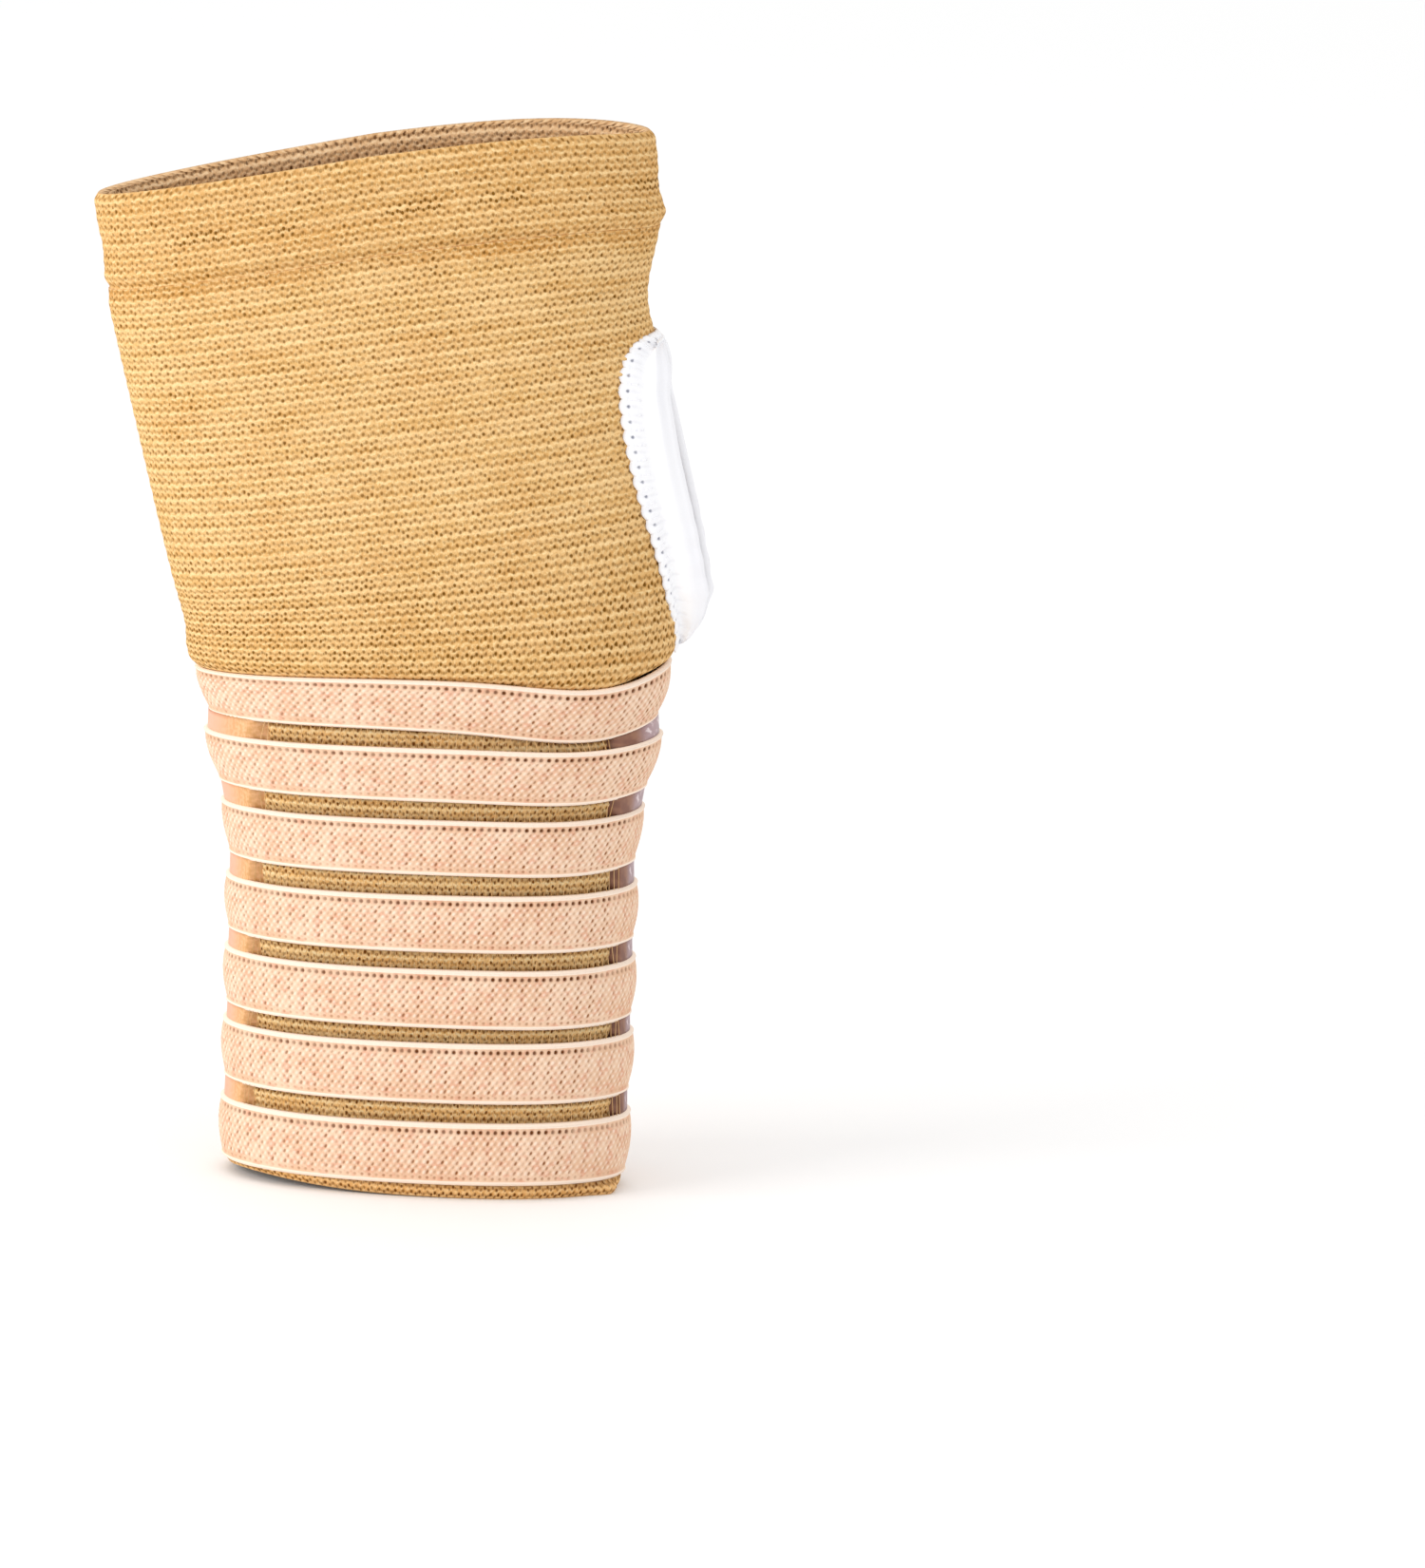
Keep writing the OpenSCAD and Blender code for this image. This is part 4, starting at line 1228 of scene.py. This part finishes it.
# ---- stage, light and camera
def make_stage():
    mesh = bpy.data.meshes.new("floor")
    mesh.from_pydata([(x * 6, y * 6, 0) for x, y in ((-1, -1), (1, -1), (1, 1), (-1, 1))], [], [(0, 1, 2, 3)])
    p = Paint("floor", roughness=1.0, specular=0.0)
    p.shader.inputs["Base Color"].default_value = (0.97, 0.97, 0.97, 1)
    mesh.materials.append(p.material)
    add("floor", mesh)


def make_light():
    world = bpy.data.worlds.new("studio")
    bpy.context.scene.world = world
    world.use_nodes = True
    background = world.node_tree.nodes["Background"].inputs
    background["Color"].default_value = (1, 1, 1, 1)
    background["Strength"].default_value = 1.0
    light = bpy.data.lights.new("key", "AREA")
    light.energy, light.size, light.color = 16.0, 1.1, (1.0, 0.985, 0.96)
    lamp = add("key", light)
    lamp.location = (-1.5, -0.9, 0.7)
    lamp.rotation_euler = (Vector((0, 0, 0.1)) - lamp.location).to_track_quat("-Z", "Y").to_euler()


CAMERA_ELEVATION, CAMERA_ROLL, CAMERA_DISTANCE = 10.5, 2.7, 1800.0
VIEW_HALF_HEIGHT = 133.65
HEM_RIGHT, HEM_UP = 49.4, 66.7   # from the hem's centre to the middle of the view


def make_camera():
    e, roll = math.radians(CAMERA_ELEVATION), math.radians(CAMERA_ROLL)
    forward = Vector((0, math.cos(e), -math.sin(e)))
    level, upright = Vector((1, 0, 0)), Vector((0, math.sin(e), math.cos(e)))
    right = level * math.cos(roll) + upright * math.sin(roll)
    up = upright * math.cos(roll) - level * math.sin(roll)
    target = Vector((ORIGIN[0], ORIGIN[1], 0)) + right * HEM_RIGHT + up * HEM_UP
    data = bpy.data.cameras.new("camera")
    data.angle = 2 * math.atan(VIEW_HALF_HEIGHT / CAMERA_DISTANCE)
    data.clip_start, data.clip_end = 0.1, 20
    camera = add("camera", data)
    rotation = Matrix((right, up, -forward)).transposed().to_4x4()
    camera.matrix_world = Matrix.Translation((target - forward * CAMERA_DISTANCE) * MM) @ rotation
    bpy.context.scene.camera = camera


make_camera()
make_stage()
make_light()
bpy.context.scene.view_settings.view_transform = "Standard"

make_hand()
make_welt()
make_wrist()
make_hem()
make_ribs()
make_filaments()
make_tab()
make_closure()
make_binding()
make_seams()
